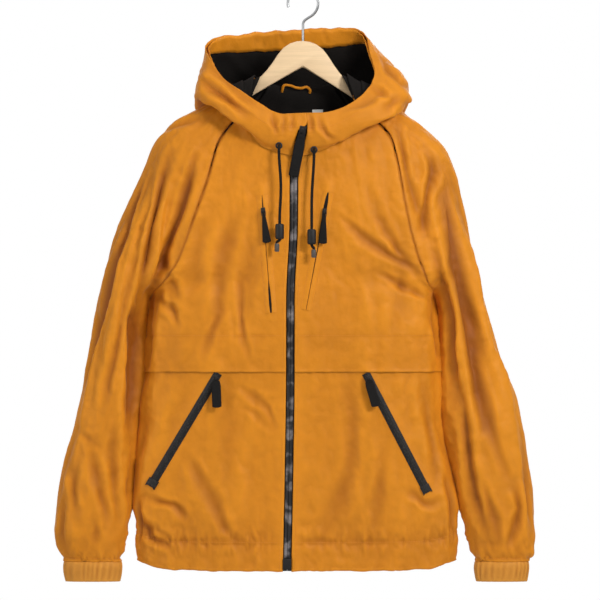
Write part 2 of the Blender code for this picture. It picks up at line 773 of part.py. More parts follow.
def shell_panels():
    """The outer surface of body and sleeves."""
    cloth = Cloth()
    turns = np.linspace(0, 1, SLEEVE_COLS + 1)
    for side in SIDES:
        left = side == LEFT
        cloth.add(
            "front_upper_" + side,
            grid(TOP_STATIONS[:-1] + (463,) + YOKE_DROPS, FRONT_SHARES,
                 lambda r, c: front_point(side, r, c)),
            flip=left, seams="r")
        cloth.add(
            "front_lower_" + side,
            grid(LOW_DROPS, FRONT_SHARES, lambda r, c: front_point(side, r, c)),
            flip=left, seams="r")
        for name, face in (("front", -1), ("back", 1)):
            cloth.add(
                "sleeve_%s_%s" % (name, side),
                grid(SLEEVE_STATIONS, turns, lambda r, c: sleeve_point(side, r, c, face)),
                flip=left == (face < 0), seams="lrb")
    shares = [-s for s in BACK_SHARES[:0:-1]] + list(BACK_SHARES)
    cloth.add(
        "back", grid(TOP_STATIONS[:-1] + (463,) + BACK_DROPS, shares, back_point), seams="lr")
    return cloth


def shell_depths(name, i, j):
    """How deep the two faces of the shell lie behind the surface."""
    if name.startswith("front_upper"):
        lift = (0.5, 1.0, 1.0, 1.0)
        row = i - len(TOP_STATIONS)
        if row >= 0:
            return -FLAP_LIFT * lift[row], SHELL - FLAP_LIFT * lift[row]
    rows = {"front_lower": LOW_DROPS, "back": TOP_STATIONS + BACK_DROPS}
    for kind, drops in rows.items():
        beside_zip = kind == "front_lower" and j < 2
        if name.startswith(kind) and drops[i] >= -CASING_TOP and not beside_zip:
            return 0.0, HEM_FOLD
    return 0.0, SHELL


def build_shell(shop):
    """Fronts, back and raglan sleeves; gives the outer faces of the fronts and of the whole."""
    cloth = shell_panels()
    made = cloth.layers(shell_depths)
    outers = []
    for name, (outer, inner) in made.items():
        shop.wall(name, "shell", outer, inner)
        outers.append((outer, cloth.panels[name][1]))
    fronts, lowers = (
        [pair for name, pair in zip(made, outers) if name.startswith(kind)]
        for kind in ("front", "front_lower"))
    # The back's lining shows through the neck: it follows the top of the back panel.
    lined = cloth.layers(lambda name, i, j: (SHELL + LAYER_GAP, SHELL + LAYER_GAP + LINING))
    outer, inner = (layer[:6, 1:-1] for layer in lined["back"])
    shop.wall("back_lining", "lining", outer, inner)
    return Surface(fronts), Surface(lowers), Surface(outers), Surface([(inner, 1.0)])


def build_cuffs(shop):
    """Elastic cuffs, a little wider than the sleeve's end and drawn in at their edge."""
    turns = np.linspace(0, 1, SLEEVE_COLS + 1)
    for side in SIDES:
        ring = [sleeve_point(side, CUFF_SEAM, s, -1) for s in turns]
        ring += [sleeve_point(side, CUFF_SEAM, s, 1) for s in turns[-2:0:-1]]
        ring = np.array(ring)
        middle = ring.mean(axis=0)
        outer, inner = [], []
        for drop, width, depth in CUFF_ROWS:
            row = middle + (ring - middle) * np.array((width, depth, 1.0))
            row[:, 2] = -drop
            step = np.roll(row, -1, axis=0) - np.roll(row, 1, axis=0)
            out = np.cross(step, (0.0, 0.0, 1.0))
            out /= np.linalg.norm(out, axis=1, keepdims=True)
            out *= np.sign(np.sum(out * (row - middle), axis=1, keepdims=True))
            outer.append(row)
            inner.append(row - out * CUFF_THICK)
        shop.wall("cuff_" + side, "shell", np.array(outer), np.array(inner), closed=True)


def build_hood(shop, body):
    """Two halves with a seam along the crown, their lining and the facing of the rim."""
    neck = Line(neck_line(HOOD_LAP))
    shares = list(HOOD_HALF) + [1 - s for s in HOOD_HALF[-2::-1]]

    def point(rise, share):
        near = LAP_CLEAR + (FOLD_CLEAR - LAP_CLEAR) * min(rise / 0.25, 1.0)
        return body.clear(hood_point(neck, share, rise), near)

    points = grid(HOOD_RISES, shares, point)
    middle = len(HOOD_HALF) - 1
    cloth = Cloth()
    cloth.add("hood_right", points[:, :middle + 1], flip=True, seams="r")
    cloth.add("hood_left", points[:, middle:], flip=True, seams="l")
    made = cloth.layers(lambda name, i, j: (0.0, SHELL))
    for name, (outer, inner) in made.items():
        shop.wall(name, "shell", outer, inner)
    whole = Cloth()
    whole.add("hood", points, flip=True)
    start = SHELL + LAYER_GAP
    outer, inner = whole.layers(lambda name, i, j: (start, start + LINING))["hood"]
    split = HOOD_RISES.index(FACING_RISE)
    lining = [pull_in(layer[1:split + 1, 1:-1], "b") for layer in (outer, inner)]
    shop.wall("hood_lining", "lining", *lining)
    rim = [pull_in(layer[split:, 1:-1], "tb") for layer in (outer, inner)]
    shop.wall("hood_facing", "shell", *rim)
    return Surface([(pair[0], -1.0) for pair in made.values()])


def build_front_zip(shop):
    """Black tapes behind the edges of the fronts, the closed coil, and the box at the hem."""
    drops = np.concatenate([
        np.linspace(ZIP_TOP, NECK_BEND, 4), np.linspace(CHEST_TOP, -HEM_BOTTOM - 3, 20)])
    back = SHELL + LAYER_GAP
    for side in SIDES:
        sign = SIGN[side]
        edges = (TAPE_APART / 2, TAPE_HALF)
        outer = grid(drops, edges, lambda r, c: zip_point(r, sign * c, back))
        inner = grid(drops, edges, lambda r, c: zip_point(r, sign * c, back + TAPE_THICK))
        shop.wall("zip_tape_" + side, "black_cloth", outer, inner)
    coil = np.append(drops[drops < COIL_END], COIL_END)
    front = back - TOUCH - COIL_THICK
    outer = grid(coil, (-CHAIN_HALF, CHAIN_HALF), lambda r, c: zip_point(r, c, front))
    inner = grid(coil, (-CHAIN_HALF, CHAIN_HALF), lambda r, c: zip_point(r, c, back - TOUCH))
    shop.wall("zip_coil", "black_plastic", outer, inner)
    down = zip_point(-HEM_BOTTOM) - zip_point(COIL_END)
    place = facing(zip_point(BOX_MIDDLE, 0.0, back - TOUCH - 0.1 - BOX[2] / 2), down)
    shop.box("zip_box", "black_plastic", BOX, place, bevel=0.8)
    down = zip_point(SLIDER_DROP + MAIN_TAB[1]) - zip_point(SLIDER_DROP)
    place = facing(zip_point(SLIDER_DROP, 0.0, front - 2 * TOUCH), down)
    build_slider(shop, "zip", place, SLIDER)
    build_pull(shop, "zip", place, SLIDER, MAIN_TAB)


def build_slider(shop, name, place, size):
    """A slider: a body that lies on the coil, and a bridge with a hole for the pull."""
    width, length, thick, bridge = size
    body = shop.box(
        name + "_slider", "black_metal", (width, length, thick),
        place @ Matrix.Translation((0.0, 0.0, thick / 2)))
    lug = shop.box(
        name + "_bridge", "black_metal", (bridge, BRIDGE_LONG, BRIDGE_HIGH + BRIDGE_SUNK),
        place @ Matrix.Translation((0.0, 0.0, thick + (BRIDGE_HIGH - BRIDGE_SUNK) / 2)))
    shop.boolean(body, lug, "UNION")
    hole = shop.box(
        name + "_eye", "black_metal", (2 * bridge, EYE, EYE),
        place @ Matrix.Translation((0.0, 0.0, thick + EYE_UP)))
    shop.boolean(body, hole, "DIFFERENCE")
    shop.bevel(body, 0.35)


def build_pull(shop, name, place, size, tab):
    """The wire link through the slider's bridge, and the tab that hangs on it."""
    pin = size[2] + EYE_UP
    half, long = LINK
    link = [(-half, 0.0), (half, 0.0), (half, -long), (-half, -long)]
    corners = [place @ Vector((x, y, pin)) for x, y in rounded_corners(link, LINK_WIRE)]
    shop.tube(name + "_link", "black_metal", corners, LINK_WIRE, cyclic=True, sides=1)
    width, length, thick, top = tab
    start = -long - LINK_WIRE / 2 - SEAM_GAP
    end, shoulder, corner = start - length, start - TAB_SHOULDER * length, TAB_CORNER
    half = width / 2
    outline = [
        (-top / 2, start), (top / 2, start), (half, shoulder), (half, end + corner),
        (half - corner, end), (corner - half, end), (-half, end + corner), (-half, shoulder),
    ]
    count = len(outline)
    points = [
        place @ Vector((x, y, pin + z)) for z in (thick / 2, -thick / 2) for x, y in outline
    ]
    faces = [tuple(range(count)), tuple(range(2 * count - 1, count - 1, -1))]
    faces += [(i, (i + 1) % count, count + (i + 1) % count, count + i) for i in range(count)]
    made = shop.mesh(name + "_tab", "black_cloth", [tuple(p) for p in points], faces)
    shop.bevel(made, 0.5)


def rounded_corners(corners, radius):
    """The closed outline with each right-angled corner cut into three short steps."""
    line = []
    for before, here, after in zip(corners[-1:] + corners[:-1], corners, corners[1:] + corners[:1]):
        a, p, b = (np.array(c, float) for c in (before, here, after))
        come, go = unit(p - a), unit(b - p)
        centre = p - come * radius + go * radius
        for turn in (0, 30, 60, 90):
            t = math.radians(turn)
            line.append(tuple(centre - go * radius * math.cos(t) + come * radius * math.sin(t)))
    return line


def build_chest_pockets(shop, fronts):
    """Upright pockets beside the zip: a lip, the zip in the slit, and a pull at its top."""
    for side in SIDES:
        start, end = CHEST_SLIT[side]
        sign = SIGN[side]
        name = "chest_pocket_"
        strip(shop, name + "zip_" + side, "black_cloth", fronts, start, end,
              [(offset, LAYER_GAP, SLIT_THICK) for offset in (-SLIT_HALF, SLIT_HALF)], 16)
        lip = [(sign * offset, LAYER_GAP, LIP_THICK) for offset in LIP_OFFSETS]
        strip(shop, name + "lip_" + side, "shell", fronts, start, end, lip, 16)
        share = CHEST_PULL[side]
        x, z = np.array(start) + (np.array(end) - np.array(start)) * share
        y = fronts.proud_y(x, z, SMALL_REACH) - LAYER_GAP - LIP_THICK - 2 * TOUCH
        place = facing((x, y, z), (CHEST_LEAN[side], 0.0, -1.0))
        build_slider(shop, "chest_" + side, place, SMALL_SLIDER)
        build_pull(shop, "chest_" + side, place, SMALL_SLIDER, CHEST_TAB)


def build_hand_pockets(shop, lowers):
    """Slanted zipped pockets below the flap."""
    for side in SIDES:
        start, end = (np.array(p, float) for p in HAND_ZIP[side])
        run = unit(end - start)
        strip(shop, "hand_pocket_zip_" + side, "black_cloth", lowers, start, end,
              [(offset, LAYER_GAP, thick) for offset, thick in HAND_PROFILE], 20, level=True)
        x, z = start + run * HAND_SLIDER_ALONG
        top = LAYER_GAP + HAND_COIL
        y = lowers.proud_y(x, z, SMALL_REACH) - top - 2 * TOUCH
        lean = facing((x, y, z), (HAND_LEAN[side], FRONT_SLOPE, -1.0))
        build_slider(shop, "hand_" + side, lean, SMALL_SLIDER)
        build_pull(shop, "hand_" + side, lean, SMALL_SLIDER, HAND_TAB)
        x, z = end - run * (STOP[1] / 2 + 1)
        y = lowers.proud_y(x, z, STOP[0] / 2 + 1) - top - 2 * TOUCH - STOP[2] / 2
        place = facing((x, y, z), (run[0], 0.0, run[1]))
        shop.box("hand_pocket_stop_" + side, "black_cloth", STOP, place, bevel=0.4)


def build_drawcords(shop, hood):
    """A cord from an eyelet on each side of the neck, with its lock and its end tip."""
    for side in SIDES:
        eye, lock, tip = CORDS[side]
        skin = hood.proud_y(*eye, EYELET_ROWS[0][1])
        ring = Matrix.Translation((eye[0], skin - TOUCH, eye[1])) @ Matrix.Rotation(
            math.radians(90), 4, "X")
        turned_part(shop, "eyelet_" + side, "black_metal", ring, EYELET_ROWS)
        out = skin - CORD_OUT
        lock_y, tip_y = LOCK_Y, LOCK_Y + 1
        path = [
            (eye[0], skin - share * CORD_OUT, eye[1] - drop)
            for share, drop in ((0.08, 0.0), (0.53, 0.5), (0.86, 2.6), (1.0, 6.0))
        ]
        top, bottom = lock[1], lock[1] - LOCK_HIGH
        for t in np.linspace(0.12, 1, 8):
            ease = t * t * (3 - 2 * t)
            path.append((
                eye[0] + (lock[0] - eye[0]) * ease, out + (lock_y - out) * ease,
                path[3][2] + (top + 3 - path[3][2]) * t))
        path += [(lock[0], lock_y, bottom - 0.8),
                 ((lock[0] + tip[0]) / 2, (lock_y + tip_y) / 2, (bottom + tip[1]) / 2),
                 (tip[0], tip_y, tip[1] + 2), (tip[0], tip_y, tip[1])]
        shop.tube("drawcord_" + side, "black_cord", path, CORD)
        middle = Matrix.Translation((lock[0], lock_y, (top + bottom) / 2))
        turned_part(shop, "cord_lock_" + side, "black_plastic", middle, LOCK_ROWS, squash=0.8)
        under = Matrix.Translation((tip[0], tip_y, tip[1] - 0.3))
        solid_turned(shop, "cord_tip_" + side, "grey_plastic", under, TIP_ROWS)


def turned_part(shop, name, kind, place, rows, squash=1.0, sides=16):
    """A ring-shaped part: rows of height, outer radius and inner radius."""
    angles = np.linspace(0, 2 * math.pi, sides, endpoint=False)
    layers = []
    for index in (1, 2):
        layers.append(np.array([
            [tuple(place @ Vector((row[index] * math.cos(a),
                                   row[index] * math.sin(a) * (squash if index == 1 else 1.0),
                                   row[0]))) for a in angles]
            for row in rows
        ]))
    return shop.wall(name, kind, *layers, closed=True)


def solid_turned(shop, name, kind, place, rows, sides=12):
    """A turned part without a hole: rows of height and radius."""
    angles = np.linspace(0, 2 * math.pi, sides, endpoint=False)
    points = [tuple(place @ Vector((r * math.cos(a), r * math.sin(a), h)))
              for h, r in rows for a in angles]
    faces = [tuple(range(sides)), tuple(range(len(points) - 1, len(points) - 1 - sides, -1))]
    for i in range(len(rows) - 1):
        for j in range(sides):
            k = (j + 1) % sides
            faces.append((i * sides + j, i * sides + k, (i + 1) * sides + k, (i + 1) * sides + j))
    return shop.mesh(name, kind, points, faces)


def build_neck_details(shop, lining):
    """The hang loop at the back of the neck and a blank label under it."""
    loop = []
    for x, z, out in HANG_LOOP:
        y = lining.y_at(x, min(z, LOOP_SEWN), start=-40.0)
        loop.append((x, y - out, z))
    shop.tube("hang_loop", "shell", loop, LOOP_THICK, sides=1)
    x0, x1, top, bottom = LABEL
    outer, inner = [], []
    for z in np.linspace(top, bottom, 4):
        xs = np.linspace(x0, x1, 4)
        y = [
            min(lining.y_at(x + dx, z + dz, start=-40.0) for dx in (-1, 0, 1) for dz in (-1, 0, 1))
            for x in xs
        ]
        outer.append([(x, v - LAYER_GAP - LABEL_THICK, z) for x, v in zip(xs, y)])
        inner.append([(x, v - LAYER_GAP, z) for x, v in zip(xs, y)])
    shop.wall("neck_label", "label", np.array(outer), np.array(inner))


# ---------------------------------------------------------------- sizes of the small parts

CUFF_THICK = 2.6
CUFF_ROWS = (  # drop, width and depth as shares of the sleeve's end
    (861.4, 1.0, 1.0), (867, 1.03, 1.06), (880, 1.02, 1.04), (892, 0.95, 0.94),
)
HOOD_RISES = (
    0, 0.09, 0.18, 0.25, 0.3, 0.35, 0.4, 0.46, 0.54, 0.63, 0.72, 0.81, FACING_RISE, 0.945, 1.0)
LAP_CLEAR, FOLD_CLEAR = 2.2, 4.2
TOUCH = 0.3  # between hard pieces that rest on each other
NECK_BEND, CHEST_TOP = 250.0, 285.0  # drops between which the zip bends back
TAPE_HALF, TAPE_APART = 12.0, 0.4
COIL_THICK = 1.3
BOX = (13.0, 17.0, 4.0)
SLIDER_DROP = 214.0
SLIDER = (10.0, 13.0, 2.8, 3.4)  # width, length, thickness, width of the bridge
SMALL_SLIDER = (6.4, 8.5, 2.0, 2.6)
SMALL_REACH = 7.0  # the cloth this far round a small slider lies under it
BRIDGE_LONG, BRIDGE_HIGH, BRIDGE_SUNK, EYE, EYE_UP = 5.6, 3.2, 0.6, 1.9, 1.3
LINK, LINK_WIRE = (3.1, 8.0), 1.1  # half width and length of the wire link
MAIN_TAB = (13.0, 62.0, 2.2, 8.0)  # width, length, thickness, width at its top
CHEST_TAB = (10.0, 40.0, 1.8, 5.0)
HAND_TAB = (9.5, 36.0, 1.8, 8.0)
TAB_SHOULDER, TAB_CORNER = 0.3, 2.0  # share of the length that widens, and the cut corner
SLIT_HALF, SLIT_THICK = 1.5, 0.8
LIP_OFFSETS, LIP_THICK = (1.9, 6.0, 10.5), 1.2
CHEST_SLIT = {RIGHT: ((-61.5, -311), (-48, -487)), LEFT: ((37.5, -307), (4.5, -483))}
CHEST_PULL = {RIGHT: 0.13, LEFT: 0.16}  # the slider's share of the slit
CHEST_LEAN = {RIGHT: 0.12, LEFT: -0.06}
HAND_ZIP = {RIGHT: ((-127, -578.5), (-229, -748)), LEFT: ((94, -578.5), (187, -757))}
HAND_COIL = 2.1
HAND_PROFILE = (  # offset from the middle of the zip and thickness
    (-6.0, 0.9), (-2.7, 0.9), (-2.3, HAND_COIL), (2.3, HAND_COIL), (2.7, 0.9), (6.0, 0.9))
STOP = (13.5, 11.0, 1.6)
HAND_SLIDER_ALONG = 7.0
FRONT_SLOPE = 0.055  # how far the front falls back for each unit downwards, below the flap
HAND_LEAN = {RIGHT: 0.04, LEFT: 0.3}
CORD, CORD_OUT = 4.4, 6.4
LOCK_Y, LOCK_HIGH = -77.0, 23.0
CORDS = {  # places (x, z) of the eyelet, the top of the lock and the top of the tip
    RIGHT: ((-36.0, -237.0), (-35.0, -354.0), (-39.0, -383.0)),
    LEFT: ((16.5, -243.0), (13.0, -362.0), (16.0, -392.0)),
}
EYELET_ROWS = ((0.0, 5.4, 2.7), (0.8, 5.4, 2.7), (1.3, 4.6, 3.2))
LOCK_ROWS = ((-11.5, 5.0, 2.6), (-9.5, 6.6, 2.6), (9.5, 6.6, 2.6), (11.5, 5.0, 2.6))
TIP_ROWS = ((0.0, 3.0), (-2.0, 3.6), (-11.0, 3.6), (-12.5, 2.8))
HANG_LOOP = (  # place (x, z) and how far its middle stands out of the lining
    (-31, -167, 2.6), (-30.5, -160, 3.0), (-29, -149, 4.6), (-24, -144, 4.6), (-12, -144, 4.6),
    (0, -146, 4.6), (8, -149, 4.6), (10.5, -160, 3.0), (11, -167, 2.6))
LOOP_THICK, LOOP_SEWN = 4.0, -158.0
LABEL, LABEL_THICK = (18.0, 34.0, -172.0, -200.0), 0.6


def main():
    for old in list(bpy.data.objects):
        bpy.data.objects.remove(old)
    shop = Workshop("hooded_windbreaker")
    shop.add_material("shell", (0.62, 0.24, 0.02), 0.55)
    shop.add_material("lining", (0.012, 0.011, 0.01), 0.9)
    shop.add_material("wood", (0.75, 0.56, 0.33), 0.5)
    shop.add_material("steel", (0.7, 0.7, 0.7), 0.3, 1.0)
    shop.add_material("black_cloth", (0.02, 0.02, 0.02), 0.8)
    shop.add_material("black_cord", (0.015, 0.015, 0.015), 0.85)
    shop.add_material("black_plastic", (0.03, 0.03, 0.03), 0.35)
    shop.add_material("black_metal", (0.02, 0.02, 0.02), 0.35, 0.6)
    shop.add_material("grey_plastic", (0.12, 0.11, 0.11), 0.4)
    shop.add_material("label", (0.85, 0.85, 0.83), 0.8)
    build_hanger(shop)
    fronts, lowers, body, lining = build_shell(shop)
    build_cuffs(shop)
    hood = build_hood(shop, body)
    build_front_zip(shop)
    build_chest_pockets(shop, fronts)
    build_hand_pockets(shop, lowers)
    build_drawcords(shop, hood)
    build_neck_details(shop, lining)


main()
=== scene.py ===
"""Looks of a hooded windbreaker that hangs, zipped up, on a flat wooden hanger."""
import math

import bmesh
import bpy
import numpy as np
from mathutils import Matrix, Vector, noise
from mathutils.bvhtree import BVHTree


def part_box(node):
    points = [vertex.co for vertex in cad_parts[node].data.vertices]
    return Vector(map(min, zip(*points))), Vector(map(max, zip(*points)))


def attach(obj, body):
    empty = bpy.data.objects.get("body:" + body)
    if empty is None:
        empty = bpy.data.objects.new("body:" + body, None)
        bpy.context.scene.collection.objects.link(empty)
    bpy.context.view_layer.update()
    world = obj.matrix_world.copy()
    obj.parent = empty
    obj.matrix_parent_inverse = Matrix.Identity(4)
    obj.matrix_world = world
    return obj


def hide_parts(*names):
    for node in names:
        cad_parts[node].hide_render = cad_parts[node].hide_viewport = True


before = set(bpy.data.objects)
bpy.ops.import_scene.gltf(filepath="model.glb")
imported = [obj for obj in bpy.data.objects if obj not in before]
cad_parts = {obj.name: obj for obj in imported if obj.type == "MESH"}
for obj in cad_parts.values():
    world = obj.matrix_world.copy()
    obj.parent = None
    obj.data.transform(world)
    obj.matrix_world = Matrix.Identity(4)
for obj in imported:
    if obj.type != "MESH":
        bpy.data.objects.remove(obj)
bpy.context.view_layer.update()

MM = 0.001  # the tables below are in millimetres
RIGHT, LEFT = "right", "left"  # the wearer's
SIDES = (RIGHT, LEFT)
SIGN = {RIGHT: -1, LEFT: 1}  # which way along X each side lies
JACKET = "jacket"
FRONT, BACK = -1, 1
WELD = 2e-5  # in metres: points nearer than this are one


# ---------------------------------------------------------------- camera, light and floor

LENS, SENSOR = 420.0, 36.0
VIEW_X, VIEW_Z = -4.5, -468.0  # the middle of the view
VIEW_WIDE = 900.0  # how much of the jacket's front plane the view spans
FRONT_PLANE = -45.0
AIM_Z = -460.0  # the lamps point at the jacket's middle
FLOOR_Z, FLOOR_SIZE, FLOOR_GLOW = -1700.0, 30.0, 0.6
SKY_LIGHT = 0.27
LAMPS = (  # name, place, size, power in watts
    ("key", (1560, -2080, 720), 700, 56.5),
    ("fill", (-2500, -1750, -300), 1600, 25.0),
    ("top", (-100, -900, 1700), 900, 14.0),
    ("back", (300, 2300, 500), 1600, 34.0),
)


def put(name, data):
    """A new object in the scene."""
    made = bpy.data.objects.new(name, data)
    bpy.context.scene.collection.objects.link(made)
    return made


def set_camera():
    """A long lens, square on to the jacket's front."""
    distance = VIEW_WIDE * LENS / SENSOR
    data = bpy.data.cameras.new("camera")
    data.lens, data.sensor_width = LENS, SENSOR
    data.clip_end = 100.0
    camera = put("camera", data)
    camera.location = np.array((VIEW_X, FRONT_PLANE - distance, VIEW_Z)) * MM
    camera.rotation_euler = (math.pi / 2, 0.0, 0.0)
    bpy.context.scene.camera = camera


def set_lamps():
    aim = Vector((0.0, 0.0, AIM_Z)) * MM
    for name, place, size, power in LAMPS:
        data = bpy.data.lights.new(name, "AREA")
        data.energy, data.size = power, size * MM
        lamp = put(name, data)
        lamp.location = Vector(place) * MM
        lamp.rotation_euler = (aim - lamp.location).to_track_quat("-Z", "Y").to_euler()


def set_sky():
    """White wherever the camera, a gloss or a clear piece sees it, and a soft grey light else."""
    world = bpy.data.worlds.new("studio")
    bpy.context.scene.world = world
    world.use_nodes = True
    nodes, links = world.node_tree.nodes, world.node_tree.links
    rays = nodes.new("ShaderNodeLightPath").outputs
    seen = rays["Is Camera Ray"]
    for kind in ("Is Glossy Ray", "Is Transmission Ray"):
        either = nodes.new("ShaderNodeMath")
        either.operation, either.use_clamp = "ADD", True
        links.new(seen, either.inputs[0])
        links.new(rays[kind], either.inputs[1])
        seen = either.outputs[0]
    strength = nodes.new("ShaderNodeMath")
    strength.operation = "MULTIPLY_ADD"
    strength.inputs[1].default_value = 1.0 - SKY_LIGHT
    strength.inputs[2].default_value = SKY_LIGHT
    links.new(seen, strength.inputs[0])
    links.new(strength.outputs[0], nodes["Background"].inputs["Strength"])
    nodes["Background"].inputs["Color"].default_value = (1.0, 1.0, 1.0, 1.0)
    bpy.context.scene.view_settings.view_transform = "Standard"


def lay_floor():
    """A pale floor far below, which glows a little where the camera sees it."""
    bpy.ops.mesh.primitive_plane_add(size=FLOOR_SIZE, location=(0.0, 0.0, 0.0))
    floor = bpy.context.object
    floor.name = "floor"
    floor.data.transform(Matrix.Translation((0.0, 0.0, FLOOR_Z * MM)))
    pale = Finish("pale floor", (0.86, 0.86, 0.85), 0.9)
    glow = pale.maths("MULTIPLY", pale.node("LightPath").outputs["Is Camera Ray"], FLOOR_GLOW)
    pale.give(pale.shader.inputs["Emission Color"], (1.0, 1.0, 1.0, 1.0))
    pale.give(pale.shader.inputs["Emission Strength"], glow)
    floor.data.materials.append(pale.done())


# ---------------------------------------------------------------- materials

NYLON_PAINTED_SHADE = "8f4c05"  # the colour painted into the nylon's creases as shade
SHEEN_ROUGH, SHEEN_TINT = 0.45, (1.0, 0.8, 0.42, 1.0)
BANDS_TO_MM = math.tau / 20  # a wave pattern's scale for one band to a millimetre


class Finish:
    """A material built up from a few patterns."""

    def __init__(self, name, colour, roughness, metallic=0.0, sheen=0.0, specular=0.5):
        self.material = bpy.data.materials.new(name)
        self.material.use_nodes = True
        self.tree = self.material.node_tree
        self.shader = self.tree.nodes["Principled BSDF"]
        self.colour = (*colour, 1.0)
        self.tint = self.height = self.deep = None
        looks = {"Base Color": self.colour, "Roughness": roughness, "Metallic": metallic,
                 "Specular IOR Level": specular}
        if sheen:
            looks.update({"Sheen Weight": sheen, "Sheen Roughness": SHEEN_ROUGH, "Sheen Tint": SHEEN_TINT})
        for key, value in looks.items():
            self.shader.inputs[key].default_value = value

    def give(self, socket, value):
        """Set an input to a value, or link it to an output."""
        if isinstance(value, bpy.types.NodeSocket):
            self.tree.links.new(value, socket)
        else:
            socket.default_value = value

    def node(self, kind, **values):
        made = self.tree.nodes.new("ShaderNode" + kind)
        for key, value in values.items():
            if key in made.inputs:
                self.give(made.inputs[key], value)
            else:
                setattr(made, key, value)
        return made

    def maths(self, operation, first, second):
        made = self.node("Math", operation=operation)
        self.give(made.inputs[0], first)
        self.give(made.inputs[1], second)
        return made.outputs[0]

    def place(self, source="Object", scale=(1.0, 1.0, 1.0)):
        """Coordinates of the piece itself, in metres, or its UV map, in millimetres."""
        spot = self.node("TexCoord").outputs[source]
        return self.node("Mapping", Vector=spot, Scale=scale).outputs["Vector"]

    def cloudy(self, where, scale, detail=3.0, rough=0.55):
        made = self.node("TexNoise", Vector=where, Scale=scale, Detail=detail, Roughness=rough)
        return made.outputs["Fac"]

    def bands(self, where, direction, scale, **values):
        return self.node("TexWave", Vector=where, wave_type="BANDS", bands_direction=direction,
                         Scale=scale, **values)

    def shade(self, factor, dark, light, low=0.3, high=0.7):
        """Multiply the colour by dark where the factor is low and by light where it is high."""
        ends = {"Value": factor, "From Min": low, "From Max": high, "To Min": dark, "To Max": light}
        share = self.node("MapRange", clamp=True, **ends).outputs["Result"]
        self.tint = share if self.tint is None else self.maths("MULTIPLY", self.tint, share)

    def raise_by(self, factor, height):
        """Add a relief of that height, in metres."""
        part = self.maths("MULTIPLY", factor, height)
        self.height = part if self.height is None else self.maths("ADD", self.height, part)

    def weave(self, threads, height):
        """A plain weave: threads over and under, with that many threads to a millimetre."""
        where = self.place("UV")
        over, under = (self.bands(where, way, threads / 2 * BANDS_TO_MM).outputs["Fac"] for way in "XY")
        self.raise_by(self.maths("MULTIPLY", over, under), height)

    def mix(self, blend, share, first, second):
        """A colour mixed from two, each a colour or an output; share is a number or an output."""
        made = self.node("Mix", data_type="RGBA", blend_type=blend, Factor=share)
        self.give(made.inputs[6], first)
        self.give(made.inputs[7], second)
        return made.outputs[2]

    def done(self, strength=1.0):
        base = self.colour
        # deep mixes in a second colour by a share; the nylon uses it for painted crease shade.
        if self.deep is not None:
            share, colour = self.deep
            base = self.mix("MIX", share, base, (*colour, 1.0))
        if self.tint is not None:
            base = self.mix("MULTIPLY", 1.0, base, self.tint)
        self.give(self.shader.inputs["Base Color"], base)
        if self.height is not None:
            bump = self.node("Bump", Strength=strength, Distance=1.0, Height=self.height)
            self.give(self.shader.inputs["Normal"], bump.outputs["Normal"])
        return self.material


def srgb(text):
    parts = [int(text[i:i + 2], 16) / 255 for i in (0, 2, 4)]
    return tuple(v / 12.92 if v <= 0.04045 else ((v + 0.055) / 1.055) ** 2.4 for v in parts)


def nylon(name, colour):
    """The shell's cloth: a little cloudy, finely crumpled, and with painted shade where it is sunk in
    creases.
    """
    shell = Finish(name, srgb(colour), 0.6, sheen=0.13, specular=0.22)
    where = shell.place()
    shell.shade(shell.cloudy(where, 5.0, 2.0), 0.94, 1.05)
    shell.shade(shell.cloudy(where, 60.0, 4.0), 0.95, 1.04)
    # Painted shade: the crease colour is mixed in by the sunk attribute.
    sunk = shell.node("Attribute", attribute_name="sunk")
    shell.deep = (sunk.outputs["Fac"], srgb(NYLON_PAINTED_SHADE))
    shell.weave(2.2, 0.00006)
    shell.raise_by(shell.cloudy(where, 55.0, 4.0, 0.6), 0.0022)
    shell.raise_by(shell.cloudy(where, 170.0, 3.0, 0.6), 0.0004)
    return shell.done(0.55)


def black_weave(name, colour, roughness, specular, threads, height, cloud, light, low=0.3, high=0.7):
    cloth = Finish(name, srgb(colour), roughness, specular=specular)
    cloth.weave(threads, height)
    cloth.shade(cloth.cloudy(cloth.place(), cloud), 0.8, light, low, high)
    return cloth.done(0.8)


def nylon_coil():
    coil = Finish("black nylon coil", srgb("1c1a1a"), 0.42, specular=0.3)
    coil.shade(coil.cloudy(coil.place(), 500.0), 0.8, 1.2)
    # Painted glints: bright patches along the coil stand in for its reflections.
    coil.shade(coil.cloudy(coil.place(), 52.0, 2.0), 1.0, 16.0, 0.50, 0.66)
    return coil.done()


def braided_cord():
    cord = Finish("black braid", srgb("141211"), 0.75, specular=0.15)
    where = cord.place("UV")
    for turn in (0.9, -0.9):
        turned = cord.node("Mapping", Vector=where, Rotation=(0.0, 0.0, turn))
        strands = cord.bands(turned.outputs["Vector"], "DIAGONAL", 0.35)
        cord.raise_by(strands.outputs["Fac"], 0.00025)
    return cord.done()


def moulded_plastic(name, colour, roughness, specular, grain):
    plastic = Finish(name, srgb(colour), roughness, specular=specular)
    plastic.raise_by(plastic.cloudy(plastic.place(), grain), 0.00012)
    return plastic.done(0.5)


def lacquered_metal():
    metal = Finish("black lacquered metal", srgb("171514"), 0.42, specular=0.3)
    metal.shade(metal.cloudy(metal.place(), 260.0), 0.8, 1.5)
    return metal.done()


def polished_steel():
    steel = Finish("polished steel", srgb("9c9d9e"), 0.3, metallic=1.0)
    steel.shade(steel.cloudy(steel.place(scale=(1, 1, 0.1)), 300.0), 0.9, 1.0)
    return steel.done()


def lacquered_wood():
    wood = Finish("pale lacquered wood", srgb("dfc198"), 0.45, specular=0.3)
    rings = wood.bands(wood.place(scale=(0.12, 1.0, 1.0)), "Z", 28.0, Distortion=7.0, Detail=3.0)
    rings.inputs["Detail Scale"].default_value = 1.6
    wood.shade(rings.outputs["Fac"], 0.965, 1.015)
    wood.shade(wood.cloudy(wood.place(scale=(0.05, 1.0, 1.0)), 700.0, 4.0), 0.95, 1.03)
    return wood.done()


def woven_label():
    label = Finish("blank woven label", srgb("d8d6d0"), 0.8)
    label.weave(1.8, 0.00015)
    return label.done()


